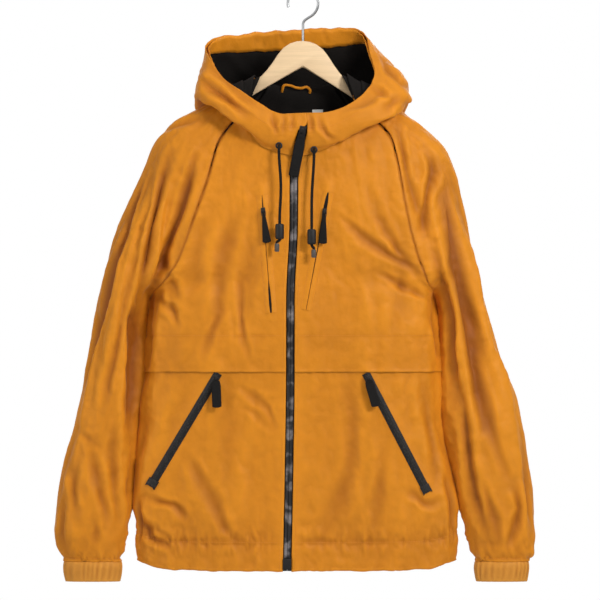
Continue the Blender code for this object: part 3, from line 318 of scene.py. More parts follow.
def sewing_thread():
    thread = Finish("mustard thread", srgb("c8791d"), 0.6)
    thread.shade(thread.cloudy(thread.place(), 900.0), 0.85, 1.1)
    return thread.done()


def make_finishes():
    return {
        "shell": nylon("mustard nylon", "d38315"),
        # The cuffs' nylon is the same cloth painted paler, as painted sheen and light.
        "painted-sheen": nylon("mustard ribbed nylon", "d38e34"),
        "lining": black_weave("black mesh", "171412", 0.9, 0.12, 0.9, 0.0003, 40.0, 1.2),
        "black_cloth": black_weave("black woven tape", "151312", 0.8, 0.15, 1.6, 0.00018, 300.0, 1.25),
        # Painted glints: the coated tape's bright patches stand in for its reflections.
        "tape_gloss_and_painted_glints": black_weave("black coated tape", "151312", 0.5, 0.25, 1.6, 0.00008, 420.0, 4.5,
                                  0.5, 0.75),
        "coil": nylon_coil(),
        "black_cord": braided_cord(),
        "black_plastic": moulded_plastic("black moulded plastic", "161413", 0.5, 0.25, 900.0),
        "grey_plastic": moulded_plastic("grey moulded plastic", "4a4644", 0.45, 0.3, 700.0),
        "black_metal": lacquered_metal(),
        "steel": polished_steel(),
        "wood": lacquered_wood(),
        "label": woven_label(),
        "thread": sewing_thread(),
    }


# ---------------------------------------------------------------- the cut pieces, as fine grids

HOOD_MIDDLE = (0.0, 5.0)  # seen from above
HOOD_LEVEL, HOOD_UPWARD = -190.0, 0.25  # its walls face up more and more above this height
RING_STEP = 2.0  # each row of a ring lies at least this much lower than the one above


def outward(points, side):
    """A direction that points out of the jacket at each point, enough to tell a face's side."""
    way = np.zeros_like(points)
    if side in (FRONT, BACK):
        way[..., 1] = side
        return way
    way[..., :2] = points[..., :2] - HOOD_MIDDLE
    way[..., 2] = HOOD_UPWARD * (points[..., 2] - HOOD_LEVEL)
    return way if side == "outside" else -way


def welded(node):
    """A node's mesh, with its points joined up."""
    mesh = bmesh.new()
    mesh.from_mesh(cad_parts[node].data)
    bmesh.ops.remove_doubles(mesh, verts=mesh.verts, dist=WELD)
    return mesh


def places_of(vertices):
    return np.array([vertex.co for vertex in vertices]) / MM


def unit(vectors):
    """The same directions, each one long."""
    return vectors / np.maximum(np.linalg.norm(vectors, axis=-1, keepdims=True), 1e-9)


def one_face(node, shortest, side):
    """Points and triangles of that side of a cloth wall, without the rim of its thickness."""
    mesh = welded(node)
    rim = [f for f in mesh.faces if min(e.calc_length() for e in f.edges) < shortest * MM]
    bmesh.ops.delete(mesh, geom=rim, context="FACES_ONLY")
    mesh.faces.ensure_lookup_table()
    left = set(range(len(mesh.faces)))
    best = None
    while left:
        first = left.pop()
        group, queue = [first], [first]
        while queue:
            for edge in mesh.faces[queue.pop()].edges:
                for near in edge.link_faces:
                    if near.index in left:
                        left.discard(near.index)
                        group.append(near.index)
                        queue.append(near.index)
        faces = [mesh.faces[i] for i in group]
        middles = np.array([f.calc_center_median() for f in faces]) / MM
        normals = np.array([f.normal * f.calc_area() for f in faces])
        score = float((outward(middles, side) * normals).sum())
        if best is None or score > best[0]:
            best = (score, [[v.index for v in f.verts] for f in faces])
    points = places_of(mesh.verts)
    mesh.free()
    return points, best[1]


def third_corners(triangles):
    """The corner that completes a triangle, for each edge in the direction it is gone round."""
    after = {}
    for a, b, c in triangles:
        after.update({(a, b): c, (b, c): a, (c, a): b})
    return after


def fill_rows(after, top, first):
    """The rows of a grid, from its top row and its first column, by walking its triangles."""
    rows = [list(top)]
    for start in first[1:]:
        above, row = rows[-1], [start]
        for a, b in zip(above, above[1:]):
            third = after.get((a, b))
            if third == row[-1]:
                corner = after.get((third, b))
            else:
                corner = third
                if after.get((a, corner)) != row[-1]:
                    return None
            if corner is None:
                return None
            row.append(corner)
        rows.append(row)
    return rows


def border_loops(after):
    """The rings of corners round a net of triangles."""
    nexts = {a: b for a, b in after if (b, a) not in after}
    loops = []
    while nexts:
        loop = [next(iter(nexts))]
        while loop[-1] in nexts:
            loop.append(nexts.pop(loop[-1]))
        loops.append(loop[:-1])
    return loops


def grid_of(node, rows, columns, shortest, side):
    """The grid that a cloth node was made on: from the top down, and from -X to +X."""
    points, triangles = one_face(node, shortest, side)
    after = third_corners(triangles)
    loop = max(border_loops(after), key=len)
    count = len(loop)
    if count != 2 * (rows + columns) - 4:
        raise ValueError(f"{node}: its edge has {count} points")
    at = points[loop]
    come, go = at - np.roll(at, 1, 0), np.roll(at, -1, 0) - at
    bend = (come * go).sum(1) / (np.linalg.norm(come, axis=1) * np.linalg.norm(go, axis=1))
    tries = []
    for high, wide in ((rows, columns), (columns, rows)):
        for start in range(count):
            corners = [start, start + wide - 1, start + wide + high - 2, start + 2 * wide + high - 3]
            tries.append((sum(bend[c % count] for c in corners), high, wide, start))
    for _, high, wide, start in sorted(tries):
        top = [loop[(start + k) % count] for k in range(wide)]
        first = [loop[(start - k) % count] for k in range(high)]
        found = fill_rows(after, top, first)
        if found:
            break
    else:
        raise ValueError(f"{node}: no grid found")
    net = points[np.array(found)]
    if (high, wide) != (rows, columns):
        net = net.transpose(1, 0, 2)
    if net[0, :, 2].mean() < net[-1, :, 2].mean():
        net = net[::-1]
    if net[:, 0, 0].mean() > net[:, -1, 0].mean():
        net = net[:, ::-1]
    return net


def ring_of(node, rows, columns, shortest):
    """The grid of a closed ring of cloth, its first column repeated at its end."""
    points, triangles = one_face(node, shortest, "ring")
    after = third_corners(triangles)
    loops = [loop for loop in border_loops(after) if len(loop) == columns]
    loop = max(loops, key=lambda ids: points[ids][:, 2].mean())
    first = loop[:1]
    for _ in range(rows - 1):
        here = points[first[-1]]
        near = {v for edge in after if first[-1] in edge for v in edge}
        below = [v for v in near if points[v][2] < here[2] - RING_STEP]
        first.append(min(below, key=lambda v: np.linalg.norm(points[v][:2] - here[:2])))
    return points[np.array(fill_rows(after, loop + loop[:1], first))]


def spread(at, wanted):
    """Weights that carry values at the places 'at' smoothly to the places wanted."""
    at = np.asarray(at, float)
    count, step = len(at), np.diff(at)
    unit = np.eye(count)
    rise = (unit[1:] - unit[:-1]) / step[:, None]
    slope = np.zeros((count, count))
    before, behind = step[:-1, None], step[1:, None]
    slope[1:-1] = (rise[:-1] * behind + rise[1:] * before) / (behind + before)
    slope[0] = 2 * rise[0] - slope[1] if count > 2 else rise[0]
    slope[-1] = 2 * rise[-1] - slope[-2] if count > 2 else rise[-1]
    k = np.clip(np.searchsorted(at, wanted, side="right") - 1, 0, count - 2)
    t = ((wanted - at[k]) / step[k])[:, None]
    return (
        (1 + 2 * t) * (1 - t) ** 2 * unit[k] + t * t * (3 - 2 * t) * unit[k + 1]
        + (t * (1 - t) ** 2 * slope[k] - t * t * (1 - t) * slope[k + 1]) * step[k][:, None])


def steps_along(points):
    """How far along a line each of its points lies."""
    return np.append(0, np.cumsum(np.linalg.norm(np.diff(points, axis=0), axis=1)))


def between(wanted, at, values):
    """The values of a line's points, filled in at the wanted place."""
    return np.array([np.interp(wanted, at, column) for column in values.T])


def finer(net, spacing, ring=False):
    """The same surface on a grid of about that spacing."""
    down = np.append(0, np.cumsum(np.linalg.norm(np.diff(net, axis=0), axis=2).mean(1)))
    over = np.append(0, np.cumsum(np.linalg.norm(np.diff(net, axis=1), axis=2).mean(0)))
    rows = np.linspace(0, down[-1], max(4, round(down[-1] / spacing)) + 1)
    columns = np.linspace(0, over[-1], max(4, round(over[-1] / spacing)) + 1)
    if ring:
        around = over[-1]
        net = np.concatenate([net[:, -4:-1], net, net[:, 1:4]], axis=1)
        over = np.concatenate([over[-4:-1] - around, over, over[1:4] + around])
    return np.einsum("ij,jkd,lk->ild", spread(down, rows), net, spread(over, columns))


class Cloth:
    """A cut piece: its places in mm, which way is out, and how far each edge is."""

    def __init__(self, name, net, spacing, side, ring=False, edges=None):
        self.name, self.side, self.ring = name, side, ring
        self.edges = edges or {}  # which kind each edge of it is
        self.points = finer(net, spacing, ring)
        self.flat = self.points.copy()
        self.measure()

    def measure(self):
        """Find how far each point is from each edge, over the cloth."""
        p = self.points
        down = np.linalg.norm(np.diff(p, axis=0), axis=2)
        over = np.linalg.norm(np.diff(p, axis=1), axis=2)
        self.top = np.vstack([np.zeros(p.shape[1]), np.cumsum(down, axis=0)])
        self.bottom = self.top[-1] - self.top
        self.left = np.hstack([np.zeros((p.shape[0], 1)), np.cumsum(over, axis=1)])
        self.right = self.left[:, -1:] - self.left
        self.normal = self.find_normals()

    def find_normals(self):
        """Which way is out, at each point."""
        p = self.points
        down, over = np.gradient(p, axis=0), np.gradient(p, axis=1)
        if self.ring:
            over[:, 0] = over[:, -1] = (p[:, 1] - p[:, -2]) / 2
        normal = unit(np.cross(down, over))
        if self.ring:
            middle = p.mean(axis=(0, 1))
            way = (p - middle) * (1, 1, 0)
        else:
            way = outward(p, self.side)
        self.turned = bool((normal * way).sum() < 0)
        return -normal if self.turned else normal

    def push(self, depth):
        """Move each point inwards by that depth."""
        self.points = self.points - self.normal * depth[..., None]
        self.normal = self.find_normals()

    def edges_of(self, *kinds):
        return [edge for edge, kind in self.edges.items() if kind in kinds]

    def along(self, edge):
        """How far each point lies along an edge, as it hangs."""
        return self.flat[..., 2] if edge in ("left", "right") else self.flat[..., 0]

    def line(self, edge, distance, start=0.0, end=1.0):
        """Points and normals along a line at that distance from an edge."""
        away, points, normals = getattr(self, edge), self.points, self.normal
        if edge in ("top", "bottom"):
            away, points, normals = (grid.swapaxes(0, 1) for grid in (away, points, normals))
        lines = [], []
        for row in range(round(start * (len(points) - 1)), round(end * (len(points) - 1)) + 1):
            order = np.argsort(away[row])
            for line, grid in zip(lines, (points, normals)):
                line.append(between(distance, away[row][order], grid[row][order]))
        return tuple(np.array(line) for line in lines)


def mesh_object(name, points, faces, uvs=None):
    """A smooth mesh from places in mm; uvs are given for each point."""
    mesh = bpy.data.meshes.new(name)
    mesh.from_pydata((np.asarray(points, float) * MM).tolist(), [], [tuple(f) for f in faces])
    if uvs is not None:
        layer = mesh.uv_layers.new(name="cloth")
        index = np.empty(len(mesh.loops), dtype=np.int32)
        mesh.loops.foreach_get("vertex_index", index)
        layer.data.foreach_set("uv", np.asarray(uvs, dtype=np.float32)[index].ravel())
    mesh.shade_smooth()
    mesh.update()
    return put(name, mesh)


def grid_faces(rows, columns, turned):
    """The faces of a grid whose points are numbered row by row."""
    i, j = np.meshgrid(np.arange(rows - 1), np.arange(columns - 1), indexing="ij")
    a = (i * columns + j).ravel()
    faces = np.stack([a, a + columns, a + columns + 1, a + 1], axis=1)
    return faces[:, ::-1] if turned else faces


def finish_piece(made, finish, slot_name, *nodes, body=JACKET):
    """Give a piece its finish and its body, and hide the nodes it stands for; slot_name is not used."""
    if finish:
        made.data.materials.append(FINISHES[finish])
    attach(made, body)
    if nodes:
        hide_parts(*nodes)
    return made


def apply_modifiers(made):
    bpy.ops.object.select_all(action="DESELECT")
    bpy.context.view_layer.objects.active = made
    made.select_set(True)
    for modifier in list(made.modifiers):
        bpy.ops.object.modifier_apply(modifier=modifier.name)


def thicken(made, thickness, inner=0):
    """Give a sheet its thickness, inwards; inner is the number of the finish on its inner side."""
    wall = made.modifiers.new("thickness", "SOLIDIFY")
    wall.thickness, wall.offset, wall.material_offset = thickness * MM, -1.0, inner
    apply_modifiers(made)


# A seam allowance: how far out and how deep its rows lie.
TURNED_IN = ((0.9, 0.9), (0.7, 3.4))
TURNED_IN_AT = {
    "front_upper": ((1.6, 1.2), (6.5, 3.8)),  # it lies under the sleeve's
    "hood": ((0.9, 0.5), (0.7, 1.3)),  # it is lined close by
}


def turn_in(grids, edge, rows_of):
    """Add the rows of a seam allowance at an edge of the grids of points, normals and other values."""
    across, last = edge in ("left", "right"), edge in ("right", "bottom")
    grids = [grid.swapaxes(0, 1) if across else grid for grid in grids]
    grids = [grid[::-1] if last else grid for grid in grids]
    points, normals = grids[:2]
    away = unit(points[0] - points[1])
    rows = [points[0] + away * out - normals[0] * deep for out, deep in rows_of][::-1]
    added = [np.array(rows)] + [np.repeat(grid[:1], len(rows), axis=0) for grid in grids[1:]]
    grids = [np.concatenate(both, axis=0) for both in zip(added, grids)]
    grids = [grid[::-1] if last else grid for grid in grids]
    return [grid.swapaxes(0, 1) if across else grid for grid in grids]


NECK_MIDDLE = np.array((0.0, -5.0))
NECK_SIDES, NECK_LOW, UNDER_SEAM, HOOD_EDGE = 50.0, -184.0, 4.5, 2.5
LINED_LOW, LINED_WIDE = -340.0, 130.0
RIM_TURN = 16.0  # the hood's cloth turns over its rim as far as this


def find_hood_seam():
    """The seam that holds the hood, seen from the neck's middle: its directions and distances."""
    rows = [grid_of("hood_" + side, *CUTS["hood"][0][:4])[-1][:, :2] for side in (LEFT, RIGHT)]
    away = np.concatenate(rows) - NECK_MIDDLE
    turns = np.arctan2(away[:, 1], away[:, 0])
    order = np.argsort(turns)
    return turns[order], np.linalg.norm(away, axis=1)[order]


def inside_hood(place, margin):
    """Whether a place lies inside the seam that holds the hood, seen from above."""
    if abs(place[0]) < NECK_SIDES or place[2] < NECK_LOW:
        return False
    away = place[:2] - NECK_MIDDLE
    turn = math.atan2(away[1], away[0])
    return np.linalg.norm(away) < np.interp(turn, *HOOD_SEAM, period=math.tau) + margin


def shows_inside(name, place, backward):
    """Whether part of a piece of shell cloth lies inside the neck, where the jacket is lined."""
    if name.startswith("hood"):
        return inside_hood(place, HOOD_EDGE)
    if name.startswith(("sleeve", "front_upper")) and inside_hood(place, UNDER_SEAM):
        return True
    return (name.startswith(("back", "sleeve_back")) and backward < 0.2
            and place[2] > LINED_LOW and abs(place[0]) < LINED_WIDE)


def sew(cloth, name, thick, finish, slot_name, nodes, seams=(), sunk=None):
    """The finished piece of a cloth grid, with its turned-in seams and its thickness."""
    extra = np.stack([cloth.left, cloth.top, np.zeros_like(cloth.left) if sunk is None else sunk], 2)
    grids = [cloth.points, cloth.normal, extra]
    rows_of = next((rows for start, rows in TURNED_IN_AT.items() if name.startswith(start)), TURNED_IN)
    for edge in seams:
        grids = turn_in(grids, edge, rows_of)
    points, _, extra = grids
    faces = grid_faces(*points.shape[:2], cloth.turned)
    made = mesh_object(name, points.reshape(-1, 3), faces, extra[..., :2].reshape(-1, 2))
    # The sunk attribute holds how much painted shade the nylon mixes in at each point.
    depth = made.data.attributes.new("sunk", "FLOAT", "POINT")
    depth.data.foreach_set("value", extra[..., 2].astype(np.float32).ravel())
    lined = finish == "shell" and cloth.side != "inside"
    for used in (finish, "lining") if lined else (finish,):
        made.data.materials.append(FINISHES[used])
    if cloth.ring:
        made.modifiers.new("close", "WELD").merge_threshold = WELD
    thicken(made, thick, inner=int(lined))
    corners = made.data.uv_layers["cloth"].data
    for face in made.data.polygons if lined else ():
        if name.startswith("hood") and corners[face.loop_start].uv.y < RIM_TURN:
            face.material_index = 0
        elif shows_inside(name, np.array(face.center) / MM, face.normal.y):
            face.material_index = 1
    cloth.piece = finish_piece(made, None, slot_name, *nodes)
    return cloth.piece


LEAST_CUT = 0.31  # a cut fills at least this share of its width times its length


def cut_size(cloth):
    """Width, length and area of the cloth as cut, in metres, before it was creased."""
    p = cloth.flat
    a, b, c, d = p[:-1, :-1], p[:-1, 1:], p[1:, 1:], p[1:, :-1]
    area = np.linalg.norm(np.cross(c - a, d - b), axis=2).sum() / 2
    wide = np.linalg.norm(np.diff(p, axis=1), axis=2).sum(1).max()
    long = np.linalg.norm(np.diff(p, axis=0), axis=2).sum(0).max()
    return round(wide * MM, 3), round(long * MM, 3), round(float(area) * MM * MM, 4)


def declare_cloth(cloth):
    wide, long, area = cut_size(cloth)
    area = min(max(area, LEAST_CUT * wide * long), wide * long)


# ---------------------------------------------------------------- folds, puckers and crumples

# The main creases as lines seen from the front: depth (a ridge is below 0), half width,
# lean (above 0, steeper on the +X side) and the places (x, z) along the line.
FRONT_FOLDS = (
    # right sleeve, front
    (6.5, 6.0, 0.6, ((-241, -273), (-256, -318), (-268, -366), (-286, -408), (-300, -468), (-315, -524),
                     (-330, -592), (-344, -658))),
    (-3.4, 6, 0.0, ((-236, -300), (-252, -362), (-270, -430), (-286, -500), (-301, -575), (-316, -650))),
    (6.2, 6.0, -0.5, ((-200, -246), (-212, -280), (-220, -318), (-229, -354), (-236, -408), (-245, -470))),
    (-3.0, 7, 0.0, ((-205, -300), (-212, -350), (-222, -400), (-240, -480), (-262, -560))),
    (6.2, 5.5, -0.5, ((-164, -252), (-178, -300), (-190, -340), (-201, -373), (-216, -421), (-228, -462))),
    (8.0, 11, -0.4, ((-214, -420), (-234, -462), (-249, -500), (-254, -560), (-255, -612), (-250, -680))),
    (2.4, 6, 0.3, ((-262, -455), (-274, -520), (-292, -580), (-300, -640))),
    (3.0, 7, 0.3, ((-322, -680), (-312, -720), (-300, -765), (-285, -812))),
    (2.6, 6, 0.2, ((-278, -640), (-286, -700), (-282, -760), (-270, -818))),
    (1.5, 6, 0.0, ((-336, -668), (-318, -678), (-302, -696))),
    (2.4, 5, 0.2, ((-312, -795), (-309, -818), (-313, -842))),
    (2.6, 6, -0.2, ((-352, -700), (-347, -760), (-340, -806))),
    (3.0, 6, 0.0, ((-252, -700), (-258, -760), (-256, -826))),
    # left sleeve, front
    (3.2, 6, 0.4, ((140, -196), (151, -240), (158, -285), (172, -330), (184, -372))),
    (4.0, 6, -0.4, ((181, -237), (193, -258), (196, -276), (188, -300), (182, -330), (180, -372))),
    (5.5, 7, 0.5, ((199, -380), (205, -426), (212, -460), (221, -498), (224, -548), (231, -620))),
    (6.5, 12, 0.3, ((210, -270), (217, -320), (225, -370), (235, -420), (246, -470), (254, -530),
                    (260, -600), (270, -660))),
    (-5.5, 16, 0.0, ((250, -300), (266, -370), (276, -440), (288, -500), (298, -560), (310, -640),
                     (322, -700))),
    (3.4, 8, 0.4, ((262, -560), (271, -604), (281, -648), (296, -698), (314, -748))),
    (-2.6, 7, 0.0, ((232, -470), (243, -560), (252, -640), (262, -720))),
    (5.0, 8, 0.0, ((240, -600), (244, -660), (248, -712), (256, -760), (270, -800), (284, -836))),
    (4.0, 6, 0.2, ((266, -730), (278, -765), (290, -800), (296, -836))),
    (3.6, 6, -0.3, ((316, -742), (326, -782), (318, -815), (308, -842))),
    (3.0, 5, 0.0, ((330, -690), (340, -730), (345, -775))),
    # upper fronts
    (3.4, 6, 0.2, ((-212, -405), (-203, -425), (-196, -448), (-188, -472))),
    (2.8, 5, 0.0, ((-204, -455), (-197, -480), (-189, -508))),
    (2.4, 5, 0.0, ((-218, -462), (-208, -476), (-196, -486))),
    (2.8, 10, 0.2, ((-96, -330), (-110, -380), (-121, -430), (-127, -480), (-130, -530))),
    (2.2, 12, 0.0, ((-78, -370), (-84, -430), (-86, -500))),
    (2.6, 4, 0.3, ((-94, -430), (-93, -490), (-88, -530), (-77, -562))),
    (2.2, 5, 0.0, ((-118, -476), (-138, -518), (-151, -558))),
    (3.2, 6, 0.3, ((55, -342), (85, -369), (127, -399), (163, -420), (190, -440))),
    (2.4, 6, -0.2, ((100, -300), (116, -350), (142, -395), (168, -420), (196, -452))),
    (2.4, 5, 0.0, ((110, -425), (150, -447), (196, -470))),
    (-1.6, 7, 0.0, ((91, -438), (95, -478), (98, -516))),
    (1.6, 9, 0.0, ((144, -360), (150, -430), (148, -505))),
    (1.6, 10, 0.0, ((-150, -330), (-160, -400), (-168, -470))),
    # lower fronts
    (2.6, 8, 0.2, ((-178, -695), (-133, -771), (-117, -810), (-88, -842))),
    (1.5, 12, 0.0, ((-109, -580), (-112, -680), (-114, -771))),
    (2.0, 6, 0.3, ((-96, -598), (-76, -611), (-53, -632), (-38, -670))),
    (1.5, 5, 0.0, ((-92, -626), (-71, -639), (-50, -664))),
    (3.6, 6, 0.2, ((-254, -758), (-248, -798), (-225, -828), (-195, -843))),
    (3.0, 5, 0.0, ((-238, -762), (-218, -771), (-194, -776), (-172, -800))),
    (2.2, 5, 0.0, ((-240, -806), (-222, -812), (-205, -826))),
    (2.2, 10, 0.0, ((70, -580), (74, -650), (73, -717), (54, -775), (34, -829))),
    (3.0, 6, 0.0, ((158, -752), (182, -774), (208, -770))),
    (2.0, 8, 0.0, ((122, -700), (114, -760), (104, -820))),
    (-1.6, 10, 0.0, ((-200, -600), (-212, -650), (-226, -700))),
    (2.4, 7, 0.2, ((182, -580), (188, -640), (200, -700), (206, -750))),
    (2.4, 6, 0.0, ((216, -700), (222, -750), (230, -800))),
    # hood, front
    (4.0, 6, 0.0, ((-150, -108), (-120, -134), (-92, -160), (-60, -182))),
    (4.2, 5.5, 0.3, ((-158, -134), (-134, -152), (-109, -170), (-78, -194))),
    (2.6, 6, 0.2, ((145, -160), (136, -172), (121, -188))),
    (3.0, 4, 0.0, ((-46, -184), (-44, -202), (-38, -222))),
    (3.0, 4, 0.0, ((-18, -184), (-15, -198), (-18, -216))),
    (2.4, 4, 0.0, ((-30, -186), (-27, -202), (-30, -222))),
    (3.0, 4, 0.0, ((8, -184), (12, -200), (13, -218))),
    (2.6, 4, 0.0, ((24, -190), (26, -206), (36, -222), (50, -232))),
    (2.4, 5, 0.0, ((-140, -100), (-128, -128), (-104, -150))),
    (3.0, 4.5, 0.2, ((116, -90), (127, -120), (152, -146))),
    (2.8, 4.5, 0.2, ((90, -124), (104, -148), (134, -166))),
    (2.6, 6, 0.2, ((52, -182), (84, -176), (118, -158))),
)
BACK_FOLDS = (
    # hood, back
    (3.2, 9, 0.3, ((-150, -120), (-110, -190), (-60, -240), (-15, -262))),
    (2.8, 8, 0.2, ((144, -110), (104, -176), (58, -228), (12, -250))),
    (2.6, 8, 0.0, ((-120, -90), (-70, -140), (-10, -165), (60, -150))),
    (2.4, 7, 0.0, ((-60, -282), (-10, -293), (50, -281))),
    (2.0, 9, 0.0, ((96, -80), (60, -130), (16, -200))),
    (2.4, 8, 0.0, ((-96, -262), (-128, -215), (-150, -165))),
    (2.2, 6, 0.0, ((88, -262), (116, -222), (136, -176))),
    # back
    (3.5, 11, 0.2, ((-206, -250), (-222, -400), (-238, -560))),
    (3.0, 10, 0.0, ((-238, -300), (-262, -430), (-280, -560))),
    (4.0, 11, 0.0, ((-322, -640), (-306, -740), (-286, -838))),
    (-2.5, 10, 0.0, ((-268, -480), (-290, -620), (-300, -700))),
    (3.5, 11, -0.2, ((188, -250), (202, -400), (218, -560))),
    (3.2, 10, 0.0, ((226, -320), (248, -470), (264, -640))),
    (4.0, 11, 0.0, ((318, -640), (300, -740), (280, -838))),
    (2.6, 18, 0.0, ((-96, -330), (-100, -520), (-110, -700), (-112, -820))),
    (2.6, 18, 0.0, ((88, -340), (92, -540), (94, -700), (98, -815))),
    (2.0, 12, 0.0, ((-168, -380), (-190, -470), (-200, -560))),
    (2.0, 12, 0.0, ((150, -380), (170, -480), (172, -570))),
    (1.8, 9, 0.0, ((-60, -700), (-10, -730), (60, -716))),
    (2.0, 9, 0.2, ((-150, -300), (-100, -340), (-30, -352), (50, -342), (120, -300))),
    (-2.0, 16, 0.0, ((-6, -400), (-10, -600), (-12, -800))),
)
# Creases on the outer sides of the sleeves, with places (y, z), on both sleeves.
SIDE_FOLDS = (
    (3.2, 8, 0.0, ((-26, -262), (-12, -330), (2, -400), (8, -470))),
    (3.0, 7, 0.0, ((22, -300), (12, -380), (-6, -455), (-20, -520))),
    (3.4, 9, 0.0, ((-24, -480), (-10, -545), (10, -600), (24, -640))),
    (2.6, 7, 0.0, ((26, -500), (16, -580), (2, -660))),
    (3.0, 7, 0.0, ((-20, -640), (-6, -700), (-2, -780), (2, -838))),
    (2.8, 6, 0.0, ((18, -690), (14, -760), (16, -838))),
    (2.6, 6, 0.0, ((-18, -730), (-16, -790), (-14, -838))),
    (3.0, 8, 0.2, ((-40, -140), (0, -155), (40, -190), (68, -250))),
    (2.6, 7, 0.0, ((-6, -100), (30, -130), (62, -180))),
    (2.6, 7, 0.0, ((-55, -170), (-20, -178), (15, -200), (36, -232))),
)
FOLDS = {FRONT: FRONT_FOLDS, BACK: BACK_FOLDS}
SHIFTS = {RIGHT: -22.0, LEFT: 0.0}  # the same creases, a little higher on one sleeve
FACES = (FRONT, BACK, RIGHT, LEFT)
OUTER, OUTER_HOOD, HOOD_LOW = 150.0, 70.0, -245.0  # side creases are only on what is further out
RIDGE_SHARE, RIDGE_AWAY, RIDGE_HALF = 0.32, 1.9, 0.8  # the cloth that a trough heaps up beside it
WIDTH_SWAY, WIDTH_RATE = 0.22, 9.0  # how much, and how often, a crease is wider and narrower


def bell(away, reach):
    """1 at a line, and less and less away from it."""
    return np.exp(-((away / reach) ** 2))


def beside_line(line, spots):
    """How far each spot is from a bent line, how far along it, as a share, and on which hand of it."""
    runs = np.diff(line, axis=0)
    lengths = np.linalg.norm(runs, axis=1)
    starts = np.append(0, np.cumsum(lengths))
    away = np.full(spots.shape[:-1], 1e9)
    share, hand = np.zeros(away.shape), np.zeros(away.shape)
    for a, run, length, start in zip(line, runs, lengths, starts):
        t = np.clip(((spots - a) @ run) / length**2, 0.0, 1.0)
        off = spots - a - t[..., None] * run
        distance = np.linalg.norm(off, axis=-1)
        near = distance < away
        away = np.where(near, distance, away)
        share = np.where(near, (start + t * length) / starts[-1], share)
        hand = np.where(near, np.sign(off[..., 0]), hand)
    return away, share, hand


def fold_depths(points, normals, face):
    """How deep the creases of that face lie at each point."""
    if face in SIDES:
        spots, facing = points[..., [1, 2]], normals[..., 0] * SIGN[face]
        rows, shift = SIDE_FOLDS, (0.0, SHIFTS[face])
    else:
        spots, facing = points[..., [0, 2]], normals[..., 1] * face
        rows, shift = FOLDS[face], (0.0, 0.0)
    total = np.zeros(points.shape[:-1])
    for depth, half, lean, places in rows:
        line = np.array(places, float) + shift
        away, share, hand = beside_line(line, spots)
        sway = 1 + WIDTH_SWAY * np.sin(share * WIDTH_RATE + line[0, 0])
        wide = half * (1 - 0.5 * lean * hand) * sway
        fade = np.sin(np.pi * np.clip(share, 0.03, 0.97)) ** 0.7
        trough = bell(away, wide)
        ridge = RIDGE_SHARE * bell(away - RIDGE_AWAY * wide, RIDGE_HALF * wide)
        total += depth * fade * (trough - ridge)
    if face in SIDES:
        least = np.where(points[..., 2] > HOOD_LOW, OUTER_HOOD, OUTER)
        facing = np.where(points[..., 0] * SIGN[face] > least, facing, 0.0)
    return total * np.clip(1.6 * facing, 0.0, 1.0)


# Crumples: height in mm, length in mm of their waves across and down the cloth, and a seed.
CRUMPLES = ((1.2, 62.0, 105.0, 3.1), (1.1, 27.0, 42.0, 17.7), (0.75, 12.0, 17.0, 41.3),
            (0.25, 6.5, 8.0, 9.2))
# Streaks that hang down the cloth: height, width and length in mm, and a seed.
STREAKS = ((2.1, 24.0, 170.0, 5.3), (1.0, 12.5, 80.0, 21.9), (0.4, 7.5, 36.0, 33.1))
STREAK_WANDER, WANDER_WAVES, WANDER_SEED = 9.0, (70.0, 70.0, 110.0), 2.2


def ridged(places):
    """Ridges with soft troughs between them, from -1.2 to 1."""
    flat = places.reshape(-1, 3)
    values = np.array([noise.noise(p) for p in flat.tolist()])
    return (1.0 - 2.2 * np.abs(values)).reshape(places.shape[:-1])


def crumple_depths(points):
    total = np.zeros(points.shape[:-1])
    for height, across, down, seed in CRUMPLES:
        total += height * ridged(points / (across, across, down) + seed)
    return total


def streak_depths(cloth, gain):
    """Long soft creases that run down the cut piece, as it hangs."""
    total = np.zeros(cloth.points.shape[:2])
    middle = cloth.left - cloth.left.mean(axis=1, keepdims=True)
    middle = middle + STREAK_WANDER * ridged(cloth.flat / WANDER_WAVES + WANDER_SEED)
    for height, wide, long, seed in STREAKS:
        places = np.stack([middle / wide + seed, cloth.top / long + seed,
                           np.full(total.shape, seed + len(cloth.name))], axis=2)
        total += gain * height * ridged(places)
    return total


# Edges, by kind: depth and half width of the sunk seam line, then height, length, reach and
# quiet strip of the small puckers beside it.
EDGE_KINDS = {
    "seam": (1.7, 2.4, 1.2, 11.5, 13.0, 2.0),
    "zip": (0.0, 3.0, 0.7, 11.0, 12.0, 2.5),
    "neck": (1.2, 3.0, 1.1, 10.0, 12.0, 2.0),
    "gathered": (1.1, 2.5, 3.9, 11.0, 20.0, 1.2),
    "rim": (0.0, 3.0, 0.5, 16.0, 10.0, 1.0),
    "free": (-0.4, 3.0, 1.1, 24.0, 22.0, 0.4),
    "crown": (0.8, 2.6, 0.8, 13.0, 12.0, 2.0),
    "stitched": (0.8, 2.4, 0.7, 8.5, 8.0, 1.2),
    "casing": (1.8, 2.6, 3.4, 10.0, 19.0, 1.0),
    "side": (0.4, 2.4, 0.0, 12.0, 9.0, 2.5),
    "flap": (-0.5, 3.5, 0.8, 46.0, 26.0, 0.4),
    "plain": (0.0, 3.0, 0.0, 10.0, 10.0, 1.0),
}
# A pucker's length along the seam and away from it, as shares of that length, and their strength.
PUCKER_ALONG, PUCKER_AWAY, PUCKER_GAIN = 0.8, 2.6, 1.5
# Places where something flat is sewn on, so the cloth stays smooth: (x, z) of both ends of its
# line and its half width.
SMOOTH_LINES = (
    ((-127, -570), (-231, -752), 11.0), ((94, -570), (189, -761), 11.0),
    ((-61.5, -300), (-48, -495), 9.0), ((37.5, -297), (4.5, -490), 9.0),
)
CALM_EDGE = 14.0
CALMED = ("seam", "side", "neck", "zip", "crown", "rim", "gathered")  # kinds of edge that hold the cloth


